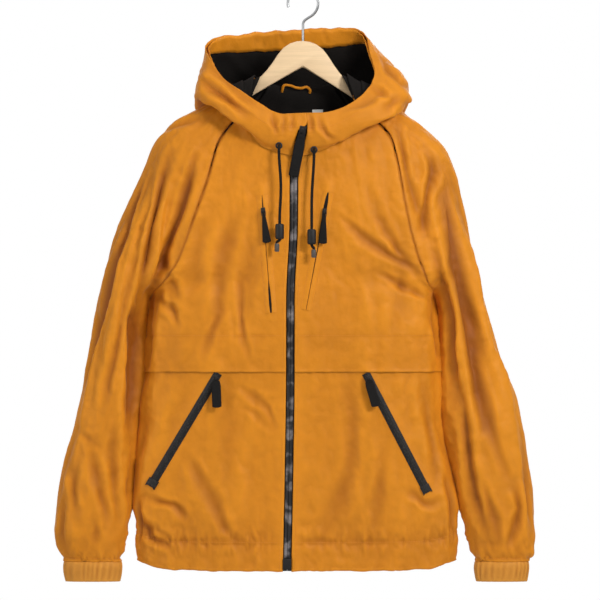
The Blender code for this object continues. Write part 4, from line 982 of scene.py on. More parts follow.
def pucker_depths(kind, away, along):
    sunk, half, height, length, reach, quiet = EDGE_KINDS[kind]
    line = sunk * bell(away, half)
    if not height:
        return line
    places = np.stack([along / (PUCKER_ALONG * length) + reach, away / (PUCKER_AWAY * length),
                       np.full(away.shape, length)], axis=2)
    puckers = PUCKER_GAIN * height * ridged(places)
    return line + puckers * (1 - np.exp(-away / quiet)) * np.exp(-away / reach)


def off_edge(cloth, edge):
    """0 at the edge, and 1 well away from it."""
    return 1 - bell(getattr(cloth, edge), CALM_EDGE)


def edge_depths(cloth, sewn_line):
    """How deep seams and puckers lie, at the cloth's edges and at the line sewn across it."""
    total = np.zeros(cloth.points.shape[:2])
    for edge, kind in cloth.edges.items():
        total += pucker_depths(kind, getattr(cloth, edge), cloth.along(edge))
    if sewn_line:
        edge, distance, kind = sewn_line
        depths = pucker_depths(kind, np.abs(getattr(cloth, edge) - distance), cloth.along(edge))
        for zip_edge in cloth.edges_of("zip"):
            depths = depths * off_edge(cloth, zip_edge)
        total += depths
    return total


def calm(cloth, floor):
    """1 where the cloth may crease freely, less beside what is sewn to it, down to that floor."""
    share = np.ones(cloth.points.shape[:2])
    for start, end, half in SMOOTH_LINES if cloth.side == FRONT else ():
        away, _, _ = beside_line(np.array((start, end), float), cloth.flat[..., [0, 2]])
        share *= 1 - bell(away, half)
    for edge in cloth.edges_of(*CALMED):
        low = 0.0 if cloth.edges[edge] == "zip" else floor
        share *= low + (1 - low) * off_edge(cloth, edge)
    return share


# ---------------------------------------------------------------- the cloth pieces

HEM_CASING = 45.5  # from the hem's edge up to the casing's stitches
FLAP_SEAM = 52.5  # from the flap's edge up to the seam it hangs from
RIM_SEAM = 22.0  # from the hood's rim down to the stitches of its casing
SHELL_SHEET, LINING_SHEET = 1.1, 0.7
SUNK_FULL = 9.0  # how deep a crease gets the full painted shade
PAINTED_SHADE_SHARES = {FRONT: 1.0, BACK: 0.5, "outside": 0.9}  # and how much of that painted shade each side gets
SHADE_SHARE = 0.6  # seams and crumples darken the cloth this much, where creases darken it by 1
FOLD_GAIN = 1.6
SEAM_SHARE = 0.35  # what is left of folds and crumples on a seam
SEAM_PAINTED_SHADE, SEAM_WIDE = 5.5, 2.6  # the armhole seams lie in a groove, painted with shade along it
# Down to LINED_TO the back is lined: there it may not crease inwards, and stands a little off.
LINED_TO, LINED_FADE, LINED_OFF = 200.0, 8.0, 0.5
HOOD_CRUMPLES, HOOD_DEEPEST = 1.5, 0.9  # the hood's crumples are stronger, but go in less
HOOD_LIFT, HOOD_SHADE = 1.3, 2.8  # its outer face stands this far off its lining, and is darker
JOINED = ("seam", "side", "crown", "gathered")  # the kinds of edge that have a seam allowance
INNER_EDGE = {LEFT: "left", RIGHT: "right"}  # a grid's columns run from -X to +X
OUTER_EDGE = {LEFT: "right", RIGHT: "left"}
# Each cut: its grid's rows and columns, the length that all the grid's edges are over, the side it
# is on and its new spacing; how strong its streaks are; the kinds of its inner, outer, top and
# bottom edges; and the line sewn across it.
CUTS = {
    "front_upper": ((15, 10, 3.4, FRONT, 2.7), 0.45, ("zip", "seam", "neck", "flap"),
                    ("bottom", FLAP_SEAM, "stitched")),
    "front_lower": ((12, 10, 3.4, FRONT, 2.7), 0.45, ("zip", "side", None, "free"),
                    ("bottom", HEM_CASING, "casing")),
    "back": ((24, 17, 3.4, BACK, 3.4), 0.55, ("side", "side", "neck", "free"),
             ("bottom", HEM_CASING, "casing")),
    "sleeve_front": ((20, 9, 3.4, FRONT, 2.7), 0.75, ("seam", "side", "neck", "gathered"), None),
    "sleeve_back": ((20, 9, 1.7, BACK, 3.2), 0.75, ("seam", "side", "neck", "gathered"), None),
    "hood": ((15, 17, 2.3, "outside", 2.7), 0.3, ("crown", "plain", "rim", "neck"),
             ("top", RIM_SEAM, "rim")),
}
LININGS = {  # the same five about its grid, and its finish
    "hood_lining": (12, 31, 1.2, "inside", 3.6, "lining"),
    "hood_facing": (3, 31, 1.2, "inside", 2.4, "shell"),
    "back_lining": (6, 15, 1.2, "inside", 3.6, "lining"),
}
FACING_WRINKLES = (1.3, 11.0, 26.0)  # height, width and length
# the most painted shade that the facing's wrinkles get
FACING_PAINTED_SHADE_MOST = 0.5
FACING_SHARE, LINING_START = 0.3, 0.85  # how much of the facing's lower half shows, and what overlaps it
LINING_BACK, LINING_CRUMPLES = 0.7, 0.4  # how far the lining lies behind the facing
LINING_UP = (0.0, 2.5, 7.0)  # the back's lining goes up behind the hood's
CUFF_GRID, CUFF_SPACING, CUFF_SHEET = (4, 16, 3.4), 1.8, 1.2
CUFF_PLEATS = (1.9, 8.6)  # height and length of the pleats that the elastic draws up
CUFF_PAINTED_SHADE_DEPTH = 3.4  # how deep a pleat gets the full painted shade
# How far body and sleeve bulge to rest against each other, at each height, and how wide the bulge is.
TOUCH_AT = (-800.0, -782.0, -650.0, -610.0, -545.0, -520.0, -432.0, -412.0)
TOUCH_BY = (0.0, 4.5, 4.5, 8.0, 8.0, 4.5, 4.5, 0.0)
TOUCH_REACH = 13.0
# How far the hood's right half reaches over the top of the zip, at each height.
CLOSING_AT, CLOSING_BY, CLOSING_REACH = (-214.0, -206.0, -200.0, -188.0), (0.0, 10.0, 8.4, 1.6), 16.0
# On the wearer's right the hood's front is tucked up above the shoulder: how far, at each x.
LIFT_AT = (-176.0, -162.0, -150.0, -138.0, -129.0, -121.0, -108.0)
LIFT_BY = (5.0, 8.0, 11.0, 13.0, 10.0, 5.0, 0.0)
LIFT_FROM, LIFT_FULL, LIFT_BEHIND, LIFT_SOFT = -156.0, -180.0, 8.0, 7.0
# The hood's rim at the back and the jacket's hem hang in waves: height, length and seed of each.
RIM_WAVES = ((2.6, 38.0, 5.2), (0.8, 15.0, 9.7))
RIM_FROM, RIM_FULL = -112.0, -76.0
HEM_WAVES, HEM_REACH, HEM_LIFT = ((1.2, 46.0, 2.6), (0.7, 15.0, 7.4)), 16.0, 1.9


def pieces_of(cut):
    """The pieces of a cut, and which side of the wearer each is on; the back is cut in one."""
    return [("back", LEFT)] if cut == "back" else [(cut + "_" + side, side) for side in (LEFT, RIGHT)]


def edge_kinds(cut, side):
    """The kind of each edge; the inner edge is the one nearer the jacket's middle."""
    places = (INNER_EDGE[side], OUTER_EDGE[side], "top", "bottom")
    return {place: kind for place, kind in zip(places, CUTS[cut][2]) if kind}


def lean_out(cloth):
    """How far the sides of body and sleeve bulge towards each other, where they hang together."""
    out = np.interp(cloth.flat[..., 2], TOUCH_AT, TOUCH_BY)
    touching = cloth.edges_of("seam") if cloth.name.startswith("sleeve") else cloth.edges_of("seam", "side")
    return sum((out * bell(getattr(cloth, edge), TOUCH_REACH) for edge in touching), np.zeros(out.shape))


def tuck_up(points):
    low = np.clip((LIFT_FROM - points[..., 2]) / (LIFT_FROM - LIFT_FULL), 0.0, 1.0)
    front = 1 / (1 + np.exp((points[..., 1] - LIFT_BEHIND) / LIFT_SOFT))
    points[..., 2] += np.interp(points[..., 0], LIFT_AT, LIFT_BY) * low * front


def close_hood(cloth):
    """Draw the hood's right half over the top of the zip."""
    reach = np.interp(cloth.points[..., 2], CLOSING_AT, CLOSING_BY)
    cloth.points[..., 0] += reach * bell(cloth.left, CLOSING_REACH)


def waves(along, table):
    total = np.zeros(along.shape)
    for height, long, seed in table:
        total += height * ridged(np.stack([along / long, 0 * along, np.full(along.shape, seed)], axis=-1))
    return total


def ripple_rim(points):
    share = np.clip((points[..., 2] - RIM_FROM) / (RIM_FULL - RIM_FROM), 0.0, 1.0)
    points[..., 2] += waves(points[..., 0], RIM_WAVES) * share


def ripple_hem(cloth):
    share = bell(cloth.bottom, HEM_REACH)
    ripples = waves(cloth.points[..., 0], HEM_WAVES) * calm(cloth, 0.0)
    cloth.points[..., 2] += (ripples + HEM_LIFT) * share


def crease_shell(cloth, streaks, sewn_line):
    """Crease a piece of the shell, and tell how much painted shade, in the deep colour, each point of it
    has.
    """
    hooded = cloth.side == "outside"
    share = calm(cloth, SEAM_SHARE)
    depth = crumple_depths(cloth.flat) * share + streak_depths(cloth, streaks) * calm(cloth, 0.0)
    folds = sum(fold_depths(cloth.flat, cloth.normal, face) for face in FACES) * FOLD_GAIN * share
    sewn = edge_depths(cloth, sewn_line)
    if hooded:
        depth = np.minimum(HOOD_CRUMPLES * depth, HOOD_DEEPEST) - HOOD_LIFT
    elif cloth.name == "back":
        unlined = 1 / (1 + np.exp((LINED_TO - cloth.top) / LINED_FADE))
        depth = np.where(depth > 0, depth * unlined, depth) - LINED_OFF * (1 - unlined)
    cloth.push(depth + folds + sewn - lean_out(cloth))
    # Painted shade: creases, seams, crumples and the whole hood darken the colour by how deep they lie.
    shade = folds + SHADE_SHARE * (sewn + depth + (HOOD_SHADE if hooded else 0.0))
    for edge in cloth.edges_of("seam"):
        shade += SEAM_PAINTED_SHADE * bell(getattr(cloth, edge), SEAM_WIDE)
    return np.clip(shade / SUNK_FULL, 0.0, 1.0) * PAINTED_SHADE_SHARES[cloth.side]


def make_shell():
    cloths = {}
    for cut, ((rows, columns, shortest, side, spacing), streaks, _, sewn_line) in CUTS.items():
        for node, hand in pieces_of(cut):
            net = grid_of(node, rows, columns, shortest, side)
            cloth = Cloth(node, net, spacing, side, edges=edge_kinds(cut, hand))
            if node == "hood_right":
                tuck_up(cloth.points)
                close_hood(cloth)
                cloth.flat = cloth.points.copy()
            if side == "outside":
                ripple_rim(cloth.points)
            if cloth.edges_of("free"):
                ripple_hem(cloth)
            sunk = crease_shell(cloth, streaks, sewn_line)
            seams = cloth.edges_of(*JOINED)
            sew(cloth, node + "_cloth", SHELL_SHEET, "shell", "shell", (node,), seams, sunk)
            cloths[node] = cloth
    return cloths


def lining_nets():
    """The linings' grids: the facing cut short, the hood's lining behind it, the back's one up."""
    nets = {node: grid_of(node, *row[:4]) for node, row in LININGS.items()}
    first, middle, last = nets["hood_facing"]
    low = middle + (last - middle) * FACING_SHARE
    nets["hood_facing"] = np.array([first, middle, low])
    start = middle + (low - middle) * LINING_START
    start[:, :2] += LINING_BACK * unit(start[:, :2] - start[:, :2].mean(axis=0))
    nets["hood_lining"] = np.concatenate([[start], nets["hood_lining"]])
    top = nets["back_lining"][0]
    nets["back_lining"] = np.concatenate([[top + LINING_UP], nets["back_lining"]])
    return nets


def make_linings():
    cloths = {}
    nets = lining_nets()
    height, wide, long = FACING_WRINKLES
    for node, (_, _, _, side, spacing, finish) in LININGS.items():
        cloth = Cloth(node, nets[node], spacing, side)
        if node == "hood_lining":
            tuck_up(cloth.points)
            cloth.flat = cloth.points.copy()
        if node.startswith("hood"):
            ripple_rim(cloth.points)
        faces = FACES if node == "hood_lining" else (FRONT,)
        folds = sum(np.maximum(fold_depths(cloth.flat, -cloth.normal, face), 0.0) for face in faces)
        wrinkles = LINING_CRUMPLES * np.minimum(crumple_depths(cloth.flat), 0.0)
        if node == "hood_facing":
            places = np.stack([cloth.left / wide, cloth.top / long, 0 * cloth.top], axis=2)
            wrinkles = -height * (1 + ridged(places))
        cloth.push(wrinkles - FOLD_GAIN * folds)
        # Painted shade in the facing's wrinkles, up to a limit.
        sunk = np.clip(1.0 + wrinkles / height, 0.0, FACING_PAINTED_SHADE_MOST)
        sew(cloth, node + "_cloth", LINING_SHEET, finish, finish, (node,), sunk=sunk)
        cloths[node] = cloth
    return cloths


def make_cuffs():
    """Rings of elastic cloth, in pleats that swell and die away as they go round."""
    cloths = {}
    height, length = CUFF_PLEATS
    for side in SIDES:
        node = "cuff_" + side
        cloth = Cloth(node, ring_of(node, *CUFF_GRID), CUFF_SPACING, FRONT, ring=True)
        count = round(cloth.left[0, -1] / length)
        angle = math.tau * cloth.left / cloth.left[:, -1:]
        wander = 1.6 * np.sin(3 * angle) + 1.1 * np.sin(5 * angle + 1) + 0.5 * cloth.top / 8
        pleats = np.sin(count * angle + wander)
        swell = 0.55 + 0.45 * np.sin(4 * angle + 0.7) * np.sin(7 * angle)
        share = np.sin(np.pi * np.clip(cloth.top / cloth.top[-1], 0.08, 0.94)) ** 0.5
        depth = 0.5 * height * (1 + pleats * swell) * share
        cloth.push(depth)
        # The pleats get painted shade by their depth, on the paler nylon whose colour is painted sheen.
        sew(cloth, node + "_cloth", CUFF_SHEET, "painted-sheen", "shell", (node,), ("top",), depth / CUFF_PAINTED_SHADE_DEPTH)
        cloths[node] = cloth
    return cloths


# ---------------------------------------------------------------- lines on the cloth


class Skin:
    """The dressed front, for laying trims on it."""

    def __init__(self, cloths):
        self.trees = []
        for cloth in cloths:
            faces = grid_faces(*cloth.points.shape[:2], cloth.turned)
            self.trees.append(BVHTree.FromPolygons(cloth.points.reshape(-1, 3).tolist(), faces.tolist()))

    def at(self, x, z):
        """Where the cloth's front lies at (x, z), and its normal."""
        best = None
        for tree in self.trees:
            spot, normal, _, _ = tree.ray_cast(Vector((x, -400.0, z)), Vector((0.0, 1.0, 0.0)))
            if spot is not None and (best is None or spot.y < best[0].y):
                best = (spot, normal if normal.y < 0 else -normal)
        return best

    def row(self, spots):
        """Points and normals of the cloth's front at a row of places (x, z)."""
        hits = [self.at(*spot) for spot in spots]
        return np.array([hit[0] for hit in hits]), np.array([hit[1] for hit in hits])


def strip_mesh(name, points, profile, steps):
    """A strip of rows of points, one row for each step along it."""
    uvs = np.array([[(offset, step) for offset, _ in profile] for step in steps])
    turned = np.cross(points[1, 0] - points[0, 0], points[0, 1] - points[0, 0])[1] > 0
    faces = grid_faces(len(steps), len(profile), turned)
    return mesh_object(name, points.reshape(-1, 3), faces, uvs.reshape(-1, 2))


def strip_on(skin, name, start, end, profile, pitch, ribs=None, slide=None):
    """A strip from start to end (x, z) that follows the cloth; profile has (offset, height) pairs.
    ribs(row, offset) adds to the height, and slide(share, offset) moves it along."""
    start, end = np.array(start, float), np.array(end, float)
    run, length = unit(end - start), np.linalg.norm(end - start)
    side = np.array((run[1], -run[0]))
    side = -side if side[0] < 0 else side
    rows = max(2, round(length / pitch)) + 1
    hits = []
    for share in np.linspace(0, 1, rows):
        middle = start + run * length * share
        slid = [slide(share, o) if slide else 0.0 for o, _ in profile]
        hits.append(skin.row([middle + side * o + run * by for (o, _), by in zip(profile, slid)]))
    base, outs = (np.array(part) for part in zip(*hits))
    for _ in range(2):
        outs[1:-1] = (outs[:-2] + outs[1:-1] + outs[2:]) / 3
        base[1:-1, :, 1] = (base[:-2, :, 1] + 2 * base[1:-1, :, 1] + base[2:, :, 1]) / 4
    height = np.array([[h + (ribs(i, o) if ribs else 0.0) for o, h in profile] for i in range(rows)])
    points = base + outs * height[..., None]
    return strip_mesh(name, points, profile, np.linspace(0, length, rows)), points, outs


STITCH_LONG, STITCH_GAP, STITCH_THICK, STITCH_SIDES = 2.7, 1.1, 0.28, 5
STITCH_LIFT, STITCH_FULL = 0.35, (0.22, 0.78)  # how far it stands out, and where it is full


def stitches(name, lines):
    """Rows of stitches along lines of (points, normals)."""
    verts, faces = [], []
    pitch = STITCH_LONG + STITCH_GAP
    for points, normals in lines:
        steps = steps_along(points)
        count = int(steps[-1] / pitch)
        for i in range(count):
            ends = [i * pitch + STITCH_GAP / 2, (i + 1) * pitch - STITCH_GAP / 2]
            a, b = (between(end, steps, points) for end in ends)
            out = between(ends[0], steps, normals)
            along = unit(b - a)
            out = unit(out - along * (out @ along))
            side = np.cross(out, along)
            lift = out * STITCH_THICK * STITCH_LIFT
            first = len(verts)
            verts.append(a - out * STITCH_THICK + lift)
            for share in STITCH_FULL:
                middle = a + (b - a) * share + lift
                for k in range(STITCH_SIDES):
                    turn = math.tau * k / STITCH_SIDES
                    verts.append(middle + STITCH_THICK * (side * math.cos(turn) + out * math.sin(turn)))
            verts.append(b - out * STITCH_THICK + lift)
            for k in range(STITCH_SIDES):
                n = (k + 1) % STITCH_SIDES
                low, high = first + 1, first + 1 + STITCH_SIDES
                faces.append((first, low + n, low + k))
                faces.append((low + k, low + n, high + n, high + k))
                faces.append((high + k, high + n, first + 1 + 2 * STITCH_SIDES))
    made = mesh_object(name, np.array(verts), faces)
    return finish_piece(made, "thread", "shell")


# Pieces of stitching: the cut, the edge it runs along, how far in, and from where to where.
SEWN_LINES = {
    "yoke_stitches": (("front_upper", "bottom", FLAP_SEAM + 2.4, 0.02, 1.0),),
    "hem_stitches": (("front_lower", "bottom", HEM_CASING, 0.02, 1.0),
                     ("back", "bottom", HEM_CASING, 0.0, 1.0)),
    "zip_edge_stitches": (("front_upper", "inner", 5.0, 0.06, 1.0),
                          ("front_lower", "inner", 5.0, 0.15, 1.0)),
    "raglan_stitches": (("sleeve_front", "inner", 3.0, 0.05, 0.5),
                        ("sleeve_back", "inner", 3.0, 0.05, 0.5)),
    "cuff_stitches": (("sleeve_front", "bottom", 2.6, 0.0, 1.0),
                      ("sleeve_back", "bottom", 2.6, 0.0, 1.0)),
    "hood_rim_stitches": (("hood", "top", RIM_SEAM, 0.0, 1.0),),
    "hood_crown_stitches": (("hood", "inner", 3.0, 0.0, 1.0),),
}


def make_stitches(cloths):
    for name, rows in SEWN_LINES.items():
        lines = []
        for cut, edge, away, start, end in rows:
            for node, side in pieces_of(cut):
                if edge == "inner":
                    lines.append(cloths[node].line(INNER_EDGE[side], away, start, end))
                elif side == LEFT:
                    lines.append(cloths[node].line(edge, away, start, end))
                else:
                    lines.append(cloths[node].line(edge, away, 1.0 - end, 1.0 - start))
        stitches(name, lines)


def pocket_stitches(name, skin, start, end, offset, first):
    """A row of stitches on each hand of a slit, from that share of its length to its end."""
    start, end = np.array(start, float), np.array(end, float)
    run = unit(end - start)
    lines = []
    for hand in (-1, 1):
        begin = start + np.array((run[1], -run[0])) * offset * hand
        lines.append(skin.row([begin + (end - start) * share for share in np.linspace(first, 1.0, 60)]))
    stitches(name, lines)


# ---------------------------------------------------------------- zips


def smooth_line(knots, spacing):
    knots = np.asarray(knots, float)
    at = steps_along(knots)
    wanted = np.linspace(0, at[-1], max(2, round(at[-1] / spacing)) + 1)
    return spread(at, wanted) @ knots, wanted


def strip_net(node, columns, shortest, side=FRONT):
    """The grid of a narrow strip, whatever its number of rows."""
    _, triangles = one_face(node, shortest, side)
    rows = len({v for t in triangles for v in t}) // columns
    return grid_of(node, rows, columns, shortest, side)


def along_strip(name, net, profile, pitch, ribs=None):
    """A strip along the middle of a strip's grid; profile has (offset across, height) pairs."""
    middle, steps = smooth_line(net.mean(axis=1), pitch)
    shares = spread(np.linspace(0, 1, len(net)), np.linspace(0, 1, len(middle)))
    across = unit(shares @ (net[:, -1] - net[:, 0]))
    out = unit(np.cross(np.gradient(middle, axis=0), across))
    out *= np.where(out[:, 1:2] > 0, -1.0, 1.0)
    offsets = np.array([o for o, _ in profile])
    heights = np.array([[h + (ribs(i, s, o) if ribs else 0.0) for o, h in profile]
                        for i, s in enumerate(steps)])
    points = middle[:, None] + across[:, None] * offsets[None, :, None] + out[:, None] * heights[..., None]
    return strip_mesh(name, points, profile, steps)


# A chain seen from its flat side: (offset, height) over one half, a rib every second row.
CHAIN_SIDE = ((0.1, -0.4), (0.25, 0.35), (0.9, 0.75), (2.2, 0.95), (3.6, 0.85), (4.6, 0.3), (5.0, -0.5))
RIB_HIGH, RIB_PITCH = 0.26, 0.85
RIB_FROM, RIB_TO = 0.3, 4.7  # how far from the middle a rib reaches
SWAY_LONG, SWAY_HIGH, SWAY_OUT = 74.0, 0.30, 4.0  # the chain's halves tilt in long waves
TAPE_SHEET, TAPE_WAVE, TAPE_RATE = 0.6, 0.12, 2.5


def chain_ribs(row, along, offset):
    rib = RIB_HIGH if RIB_FROM < abs(offset) < RIB_TO and row % 2 else 0.0
    return rib + SWAY_HIGH * math.sin(math.tau * along / SWAY_LONG) * offset / SWAY_OUT


def make_front_zip():
    coil = strip_net("zip_coil", 2, 2.0)
    for side in SIDES:
        half = [(SIGN[side] * o, h) for o, h in CHAIN_SIDE]
        chain = along_strip("zip_chain_" + side, coil, half, RIB_PITCH, chain_ribs)
        finish_piece(chain, "coil", "black_plastic", "zip_coil")
    for side in SIDES:
        net = strip_net("zip_tape_" + side, 2, 2.0)
        half = np.linalg.norm(net[:, 1] - net[:, 0], axis=1).mean() / 2
        profile = [(o, TAPE_WAVE * math.sin(TAPE_RATE * o)) for o in np.linspace(-half, half, 9)]
        tape = along_strip("zip_tape_%s_cloth" % side, net, profile, 2.0)
        thicken(tape, TAPE_SHEET)
        finish_piece(tape, "black_cloth", "black_cloth", "zip_tape_" + side)
        long = float(smooth_line(net.mean(axis=1), 5.0)[1][-1])


def hard_copy(node, name, finish, body=JACKET, angle=35.0, soften=0.0, levels=0):
    """A hard piece just as it is built, joined up and with soft edges."""
    mesh = welded(node)
    bmesh.ops.dissolve_limit(mesh, angle_limit=math.radians(1.0), verts=mesh.verts, edges=mesh.edges)
    data = bpy.data.meshes.new(name)
    mesh.to_mesh(data)
    mesh.free()
    made = put(name, data)
    if soften:
        edge = made.modifiers.new("soft edges", "BEVEL")
        edge.width, edge.segments, edge.limit_method = soften * MM, 2, "ANGLE"
        edge.angle_limit = math.radians(30)
    if levels:
        smooth = made.modifiers.new("smooth", "SUBSURF")
        smooth.levels = smooth.render_levels = levels
    apply_modifiers(made)
    bpy.ops.object.shade_smooth_by_angle(angle=math.radians(angle))
    return finish_piece(made, finish, finish, node, body=body)


def tube_mesh(name, points, sides, uvs):
    """A tube of rings of points, closed at both ends."""
    count, faces = len(points) // sides, []
    for low in range(0, (count - 1) * sides, sides):
        high = low + sides
        for k in range(sides):
            n = (k + 1) % sides
            faces.append((low + k, low + n, high + n, high + k))
    faces += [tuple(range(sides))[::-1], tuple(range((count - 1) * sides, count * sides))]
    made = mesh_object(name, points, faces, uvs)
    mesh = bmesh.new()
    mesh.from_mesh(made.data)
    bmesh.ops.recalc_face_normals(mesh, faces=mesh.faces)
    mesh.to_mesh(made.data)
    mesh.free()
    return made


# Pull tabs: width at the top, full width, thickness, share of the length that widens, and how
# far the strap reaches up over its link.
TABS = {
    "zip": (10.0, 15.5, 2.6, 0.3, 4.0),
    "chest": (2.4, 13.0, 2.0, 0.95, 9.0),
    "hand": (10.5, 14.0, 2.0, 0.2, 5.0),
}
TAB_STEP, TAB_SIDES, TAB_OUT = 0.9, 22, 0.5
TAB_ROUND, TAB_LEAST = 2.4, 0.25  # its lower corners' radius, and the least share of its width
TAB_SEAMS, TAB_SEAM_HALF, TAB_SEAM_THICK = (0.86, 0.12), 0.9, 0.78  # where stitches press it thin
TAB_RIDGE, TAB_RIDGES = 0.16, 5.5  # its padding's ridges
PULLS = {
    "zip": "front_zip_pull",
    "chest_right": "chest_zip_pull_right", "chest_left": "chest_zip_pull_left",
    "hand_right": "hand_zip_pull_right", "hand_left": "hand_zip_pull_left",
}


def tab_frame(node):
    """A tab's middle, its directions down, across and out, and its length."""
    spots = places_of(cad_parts[node].data.vertices)
    middle = (spots.min(0) + spots.max(0)) / 2
    centre = spots.mean(0)
    down, across, out = np.linalg.svd(spots - centre)[2]
    down = down if down[2] < 0 else -down
    out = np.cross(down, across)
    if out[1] > 0:
        across, out = -across, -out
    for way in (out, across):
        reach = (spots - centre) @ way
        centre = centre + way * (reach.max() + reach.min()) / 2
    centre = centre + down * ((middle - centre) @ down)
    run = spots @ down
    return centre, down, across, out, run.max() - run.min()


def make_tab(pull, body):
    """A folded strap with a padded middle and stitches across it."""
    node = pull + "_tab"
    top, wide, thick, shoulder, reach = TABS[pull.split("_")[0]]
    centre, down, across, out, long = tab_frame(node)
    centre = centre - down * reach / 2 + out * TAB_OUT
    long += reach
    rows = max(12, round(long / TAB_STEP))
    points, uvs = [], []
    for share in np.linspace(0, 1, rows):
        s = share * long
        end = min(s, long - s)
        squeeze = min(1.0, 0.72 + end / 4)
        if share > 0.5:
            squeeze = math.sqrt(max(0.0, 1 - (1 - min(end / TAB_ROUND, 1.0)) ** 2))
        full = (top + (wide - top) * min(1.0, share / shoulder) ** 0.8) * max(squeeze, TAB_LEAST)
        high = 0.35 * thick if end < 0.01 else thick
        if min(abs(s - long * seam) for seam in TAB_SEAMS) < TAB_SEAM_HALF:
            high *= TAB_SEAM_THICK
        for k in range(TAB_SIDES):
            turn = math.tau * k / TAB_SIDES
            c, q = math.cos(turn), math.sin(turn)
            x = 0.5 * full * math.copysign(abs(c) ** 0.55, c)
            ridge = 1.0 + TAB_RIDGE * math.cos(TAB_RIDGES * math.pi * x / wide) if abs(c) < 0.92 else 1.0
            y = 0.5 * high * ridge * math.copysign(abs(q) ** 0.6, q)
            points.append(centre + down * (s - long / 2) + across * x + out * y)
            uvs.append((x, s))
    made = tube_mesh(node + "_strap", np.array(points), TAB_SIDES, np.array(uvs))
    return finish_piece(made, "black_cloth", "black_cloth", node, body=body)


def make_pulls():
    for pull, body in PULLS.items():
        hard_copy(pull + "_slider", pull + "_slider_body", "black_metal", soften=0.25)
        hard_copy(pull + "_link", pull + "_link_wire", "black_metal", body, levels=1)
        make_tab(pull, body)


HAND_ZIP = {RIGHT: ((-127, -577.5), (-229, -748)), LEFT: ((94, -577.5), (187, -757))}
# The pocket zips seen from their end: (offset, height), the same on both halves.
HAND_HALF = ((0.25, 1.95), (1.2, 2.0), (2.5, 1.7), (2.9, 0.85), (4.2, 0.8), (5.9, 0.75), (6.3, 0.1))
HAND_TAPE = (*[(-o, h) for o, h in HAND_HALF[::-1]], (0.0, 1.55), *HAND_HALF)
HAND_CHAIN, HAND_RIB, HAND_WEAVE = (0.1, 2.6), 0.28, 0.07  # where its ribs are, and how high
HAND_STITCHES = (8.6, 0.02)  # how far beside the slit, and from which share of it
STOP_HALF, STOP_LONG, STOP_PAST, NOTCH = 6.9, 12.0, 1.6, 5.0  # the tape's end, cut like a fish's tail
STOP_HIGH, STOP_WAVE, STOP_RATE, STOP_SHEET = 2.15, 0.22, 2.4, 0.8


def hand_ribs(row, offset):
    low, high = HAND_CHAIN
    return (HAND_RIB if low < abs(offset) < high else HAND_WEAVE) if row % 2 else 0.0


def make_hand_pockets(skin):
    for side in SIDES:
        start, end = (np.array(p, float) for p in HAND_ZIP[side])
        zip_strip, _, _ = strip_on(skin, "hand_zip_" + side, start, end, HAND_TAPE, RIB_PITCH, hand_ribs)
        finish_piece(zip_strip, "tape_gloss_and_painted_glints", "black_cloth", "hand_pocket_zip_" + side)
        run = unit(end - start)
        tail = [(o, STOP_HIGH + STOP_WAVE * math.sin(o * STOP_RATE))
                for o in np.linspace(-STOP_HALF, STOP_HALF, 17)]
        tail = [(-STOP_HALF - 0.1, 0.0)] + tail + [(STOP_HALF + 0.1, 0.0)]
        stop, _, _ = strip_on(skin, "hand_pocket_tail_" + side, end - run * STOP_LONG, end + run * STOP_PAST,
                              tail, 0.8,
                              slide=lambda share, o: -NOTCH * share**3 * max(0.0, 1 - abs(o) / STOP_HALF))
        thicken(stop, STOP_SHEET)
        finish_piece(stop, "tape_gloss_and_painted_glints", "black_cloth", "hand_pocket_stop_" + side)
        pocket_stitches("hand_pocket_stitches_" + side, skin, start, end, *HAND_STITCHES)


CHEST_SLIT = {RIGHT: ((-61.5, -311), (-48, -487)), LEFT: ((37.5, -307), (4.5, -483))}
CHEST_TAPE, CHEST_HIGH, CHEST_RIB = (-2.7, -1.4, -0.5, 0.5, 1.4, 2.7), 0.35, 0.2
CHEST_STITCHES = (8.2, 0.0)
# How wide the slit stands open, as (share from its top, half width in mm).
CHEST_GAPE = {
    RIGHT: ((0.0, 0.25), (0.1, 0.9), (0.45, 0.35), (0.72, 0.3), (0.80, 1.3), (0.93, 1.9), (1.0, 1.2)),
    LEFT: ((0.0, 0.9), (0.08, 2.6), (0.3, 2.2), (0.45, 0.7), (0.8, 0.3), (1.0, 0.25)),
}
WELT = ((0.0, -0.6), (0.05, 0.7), (0.7, 1.15), (2.6, 1.05), (5.6, 0.7), (7.8, 0.25), (9.4, -0.5))
WELT_RIPPLE = 0.12


def chest_ribs(row, offset):
    return CHEST_RIB if row % 2 and abs(offset) < 2 else 0.0


def make_chest_pockets(skin):
    for side in SIDES:
        start, end = CHEST_SLIT[side]
        profile = [(o, CHEST_HIGH) for o in CHEST_TAPE]
        strip, _, _ = strip_on(skin, "chest_zip_" + side, start, end, profile, RIB_PITCH, chest_ribs)
        finish_piece(strip, "black_cloth", "black_cloth", "chest_pocket_zip_" + side)
        for hand in (-1, 1):
            make_welt(skin, side, hand, start, end)
        pocket_stitches("chest_pocket_stitches_" + side, skin, start, end, *CHEST_STITCHES)


def make_welt(skin, side, hand, start, end):
    """A lip of shell cloth beside the slit, folded at its open edge and lost in the front's cloth."""
    name = "chest_lip_%s_%s" % (side, "inner" if hand * SIGN[side] < 0 else "outer")
    made, points, outs = strip_on(skin, name, start, end, [(hand * o, h) for o, h in WELT], 2.2)
    rows = len(points)
    across = unit(points[:, -1] - points[:, 0])
    gape = np.interp(np.linspace(0, 1, rows), *zip(*CHEST_GAPE[side]))
    for j, (offset, _) in enumerate(WELT):
        ripple = WELT_RIPPLE * np.sin(np.arange(rows) * 1.1 + j * 0.4)
        points[:, j] += across * (gape * (1 - offset / WELT[-1][0]))[:, None]
        points[:, j] += outs[:, j] * ripple[:, None]
    made.data.vertices.foreach_set("co", (points.reshape(-1, 3) * MM).astype(np.float32).ravel())
    made.data.update()
    nodes = ("chest_pocket_lip_" + side,) if name.endswith("outer") else ()
    return finish_piece(made, "shell", "shell", *nodes)


# ---------------------------------------------------------------- drawcords, neck and hanger

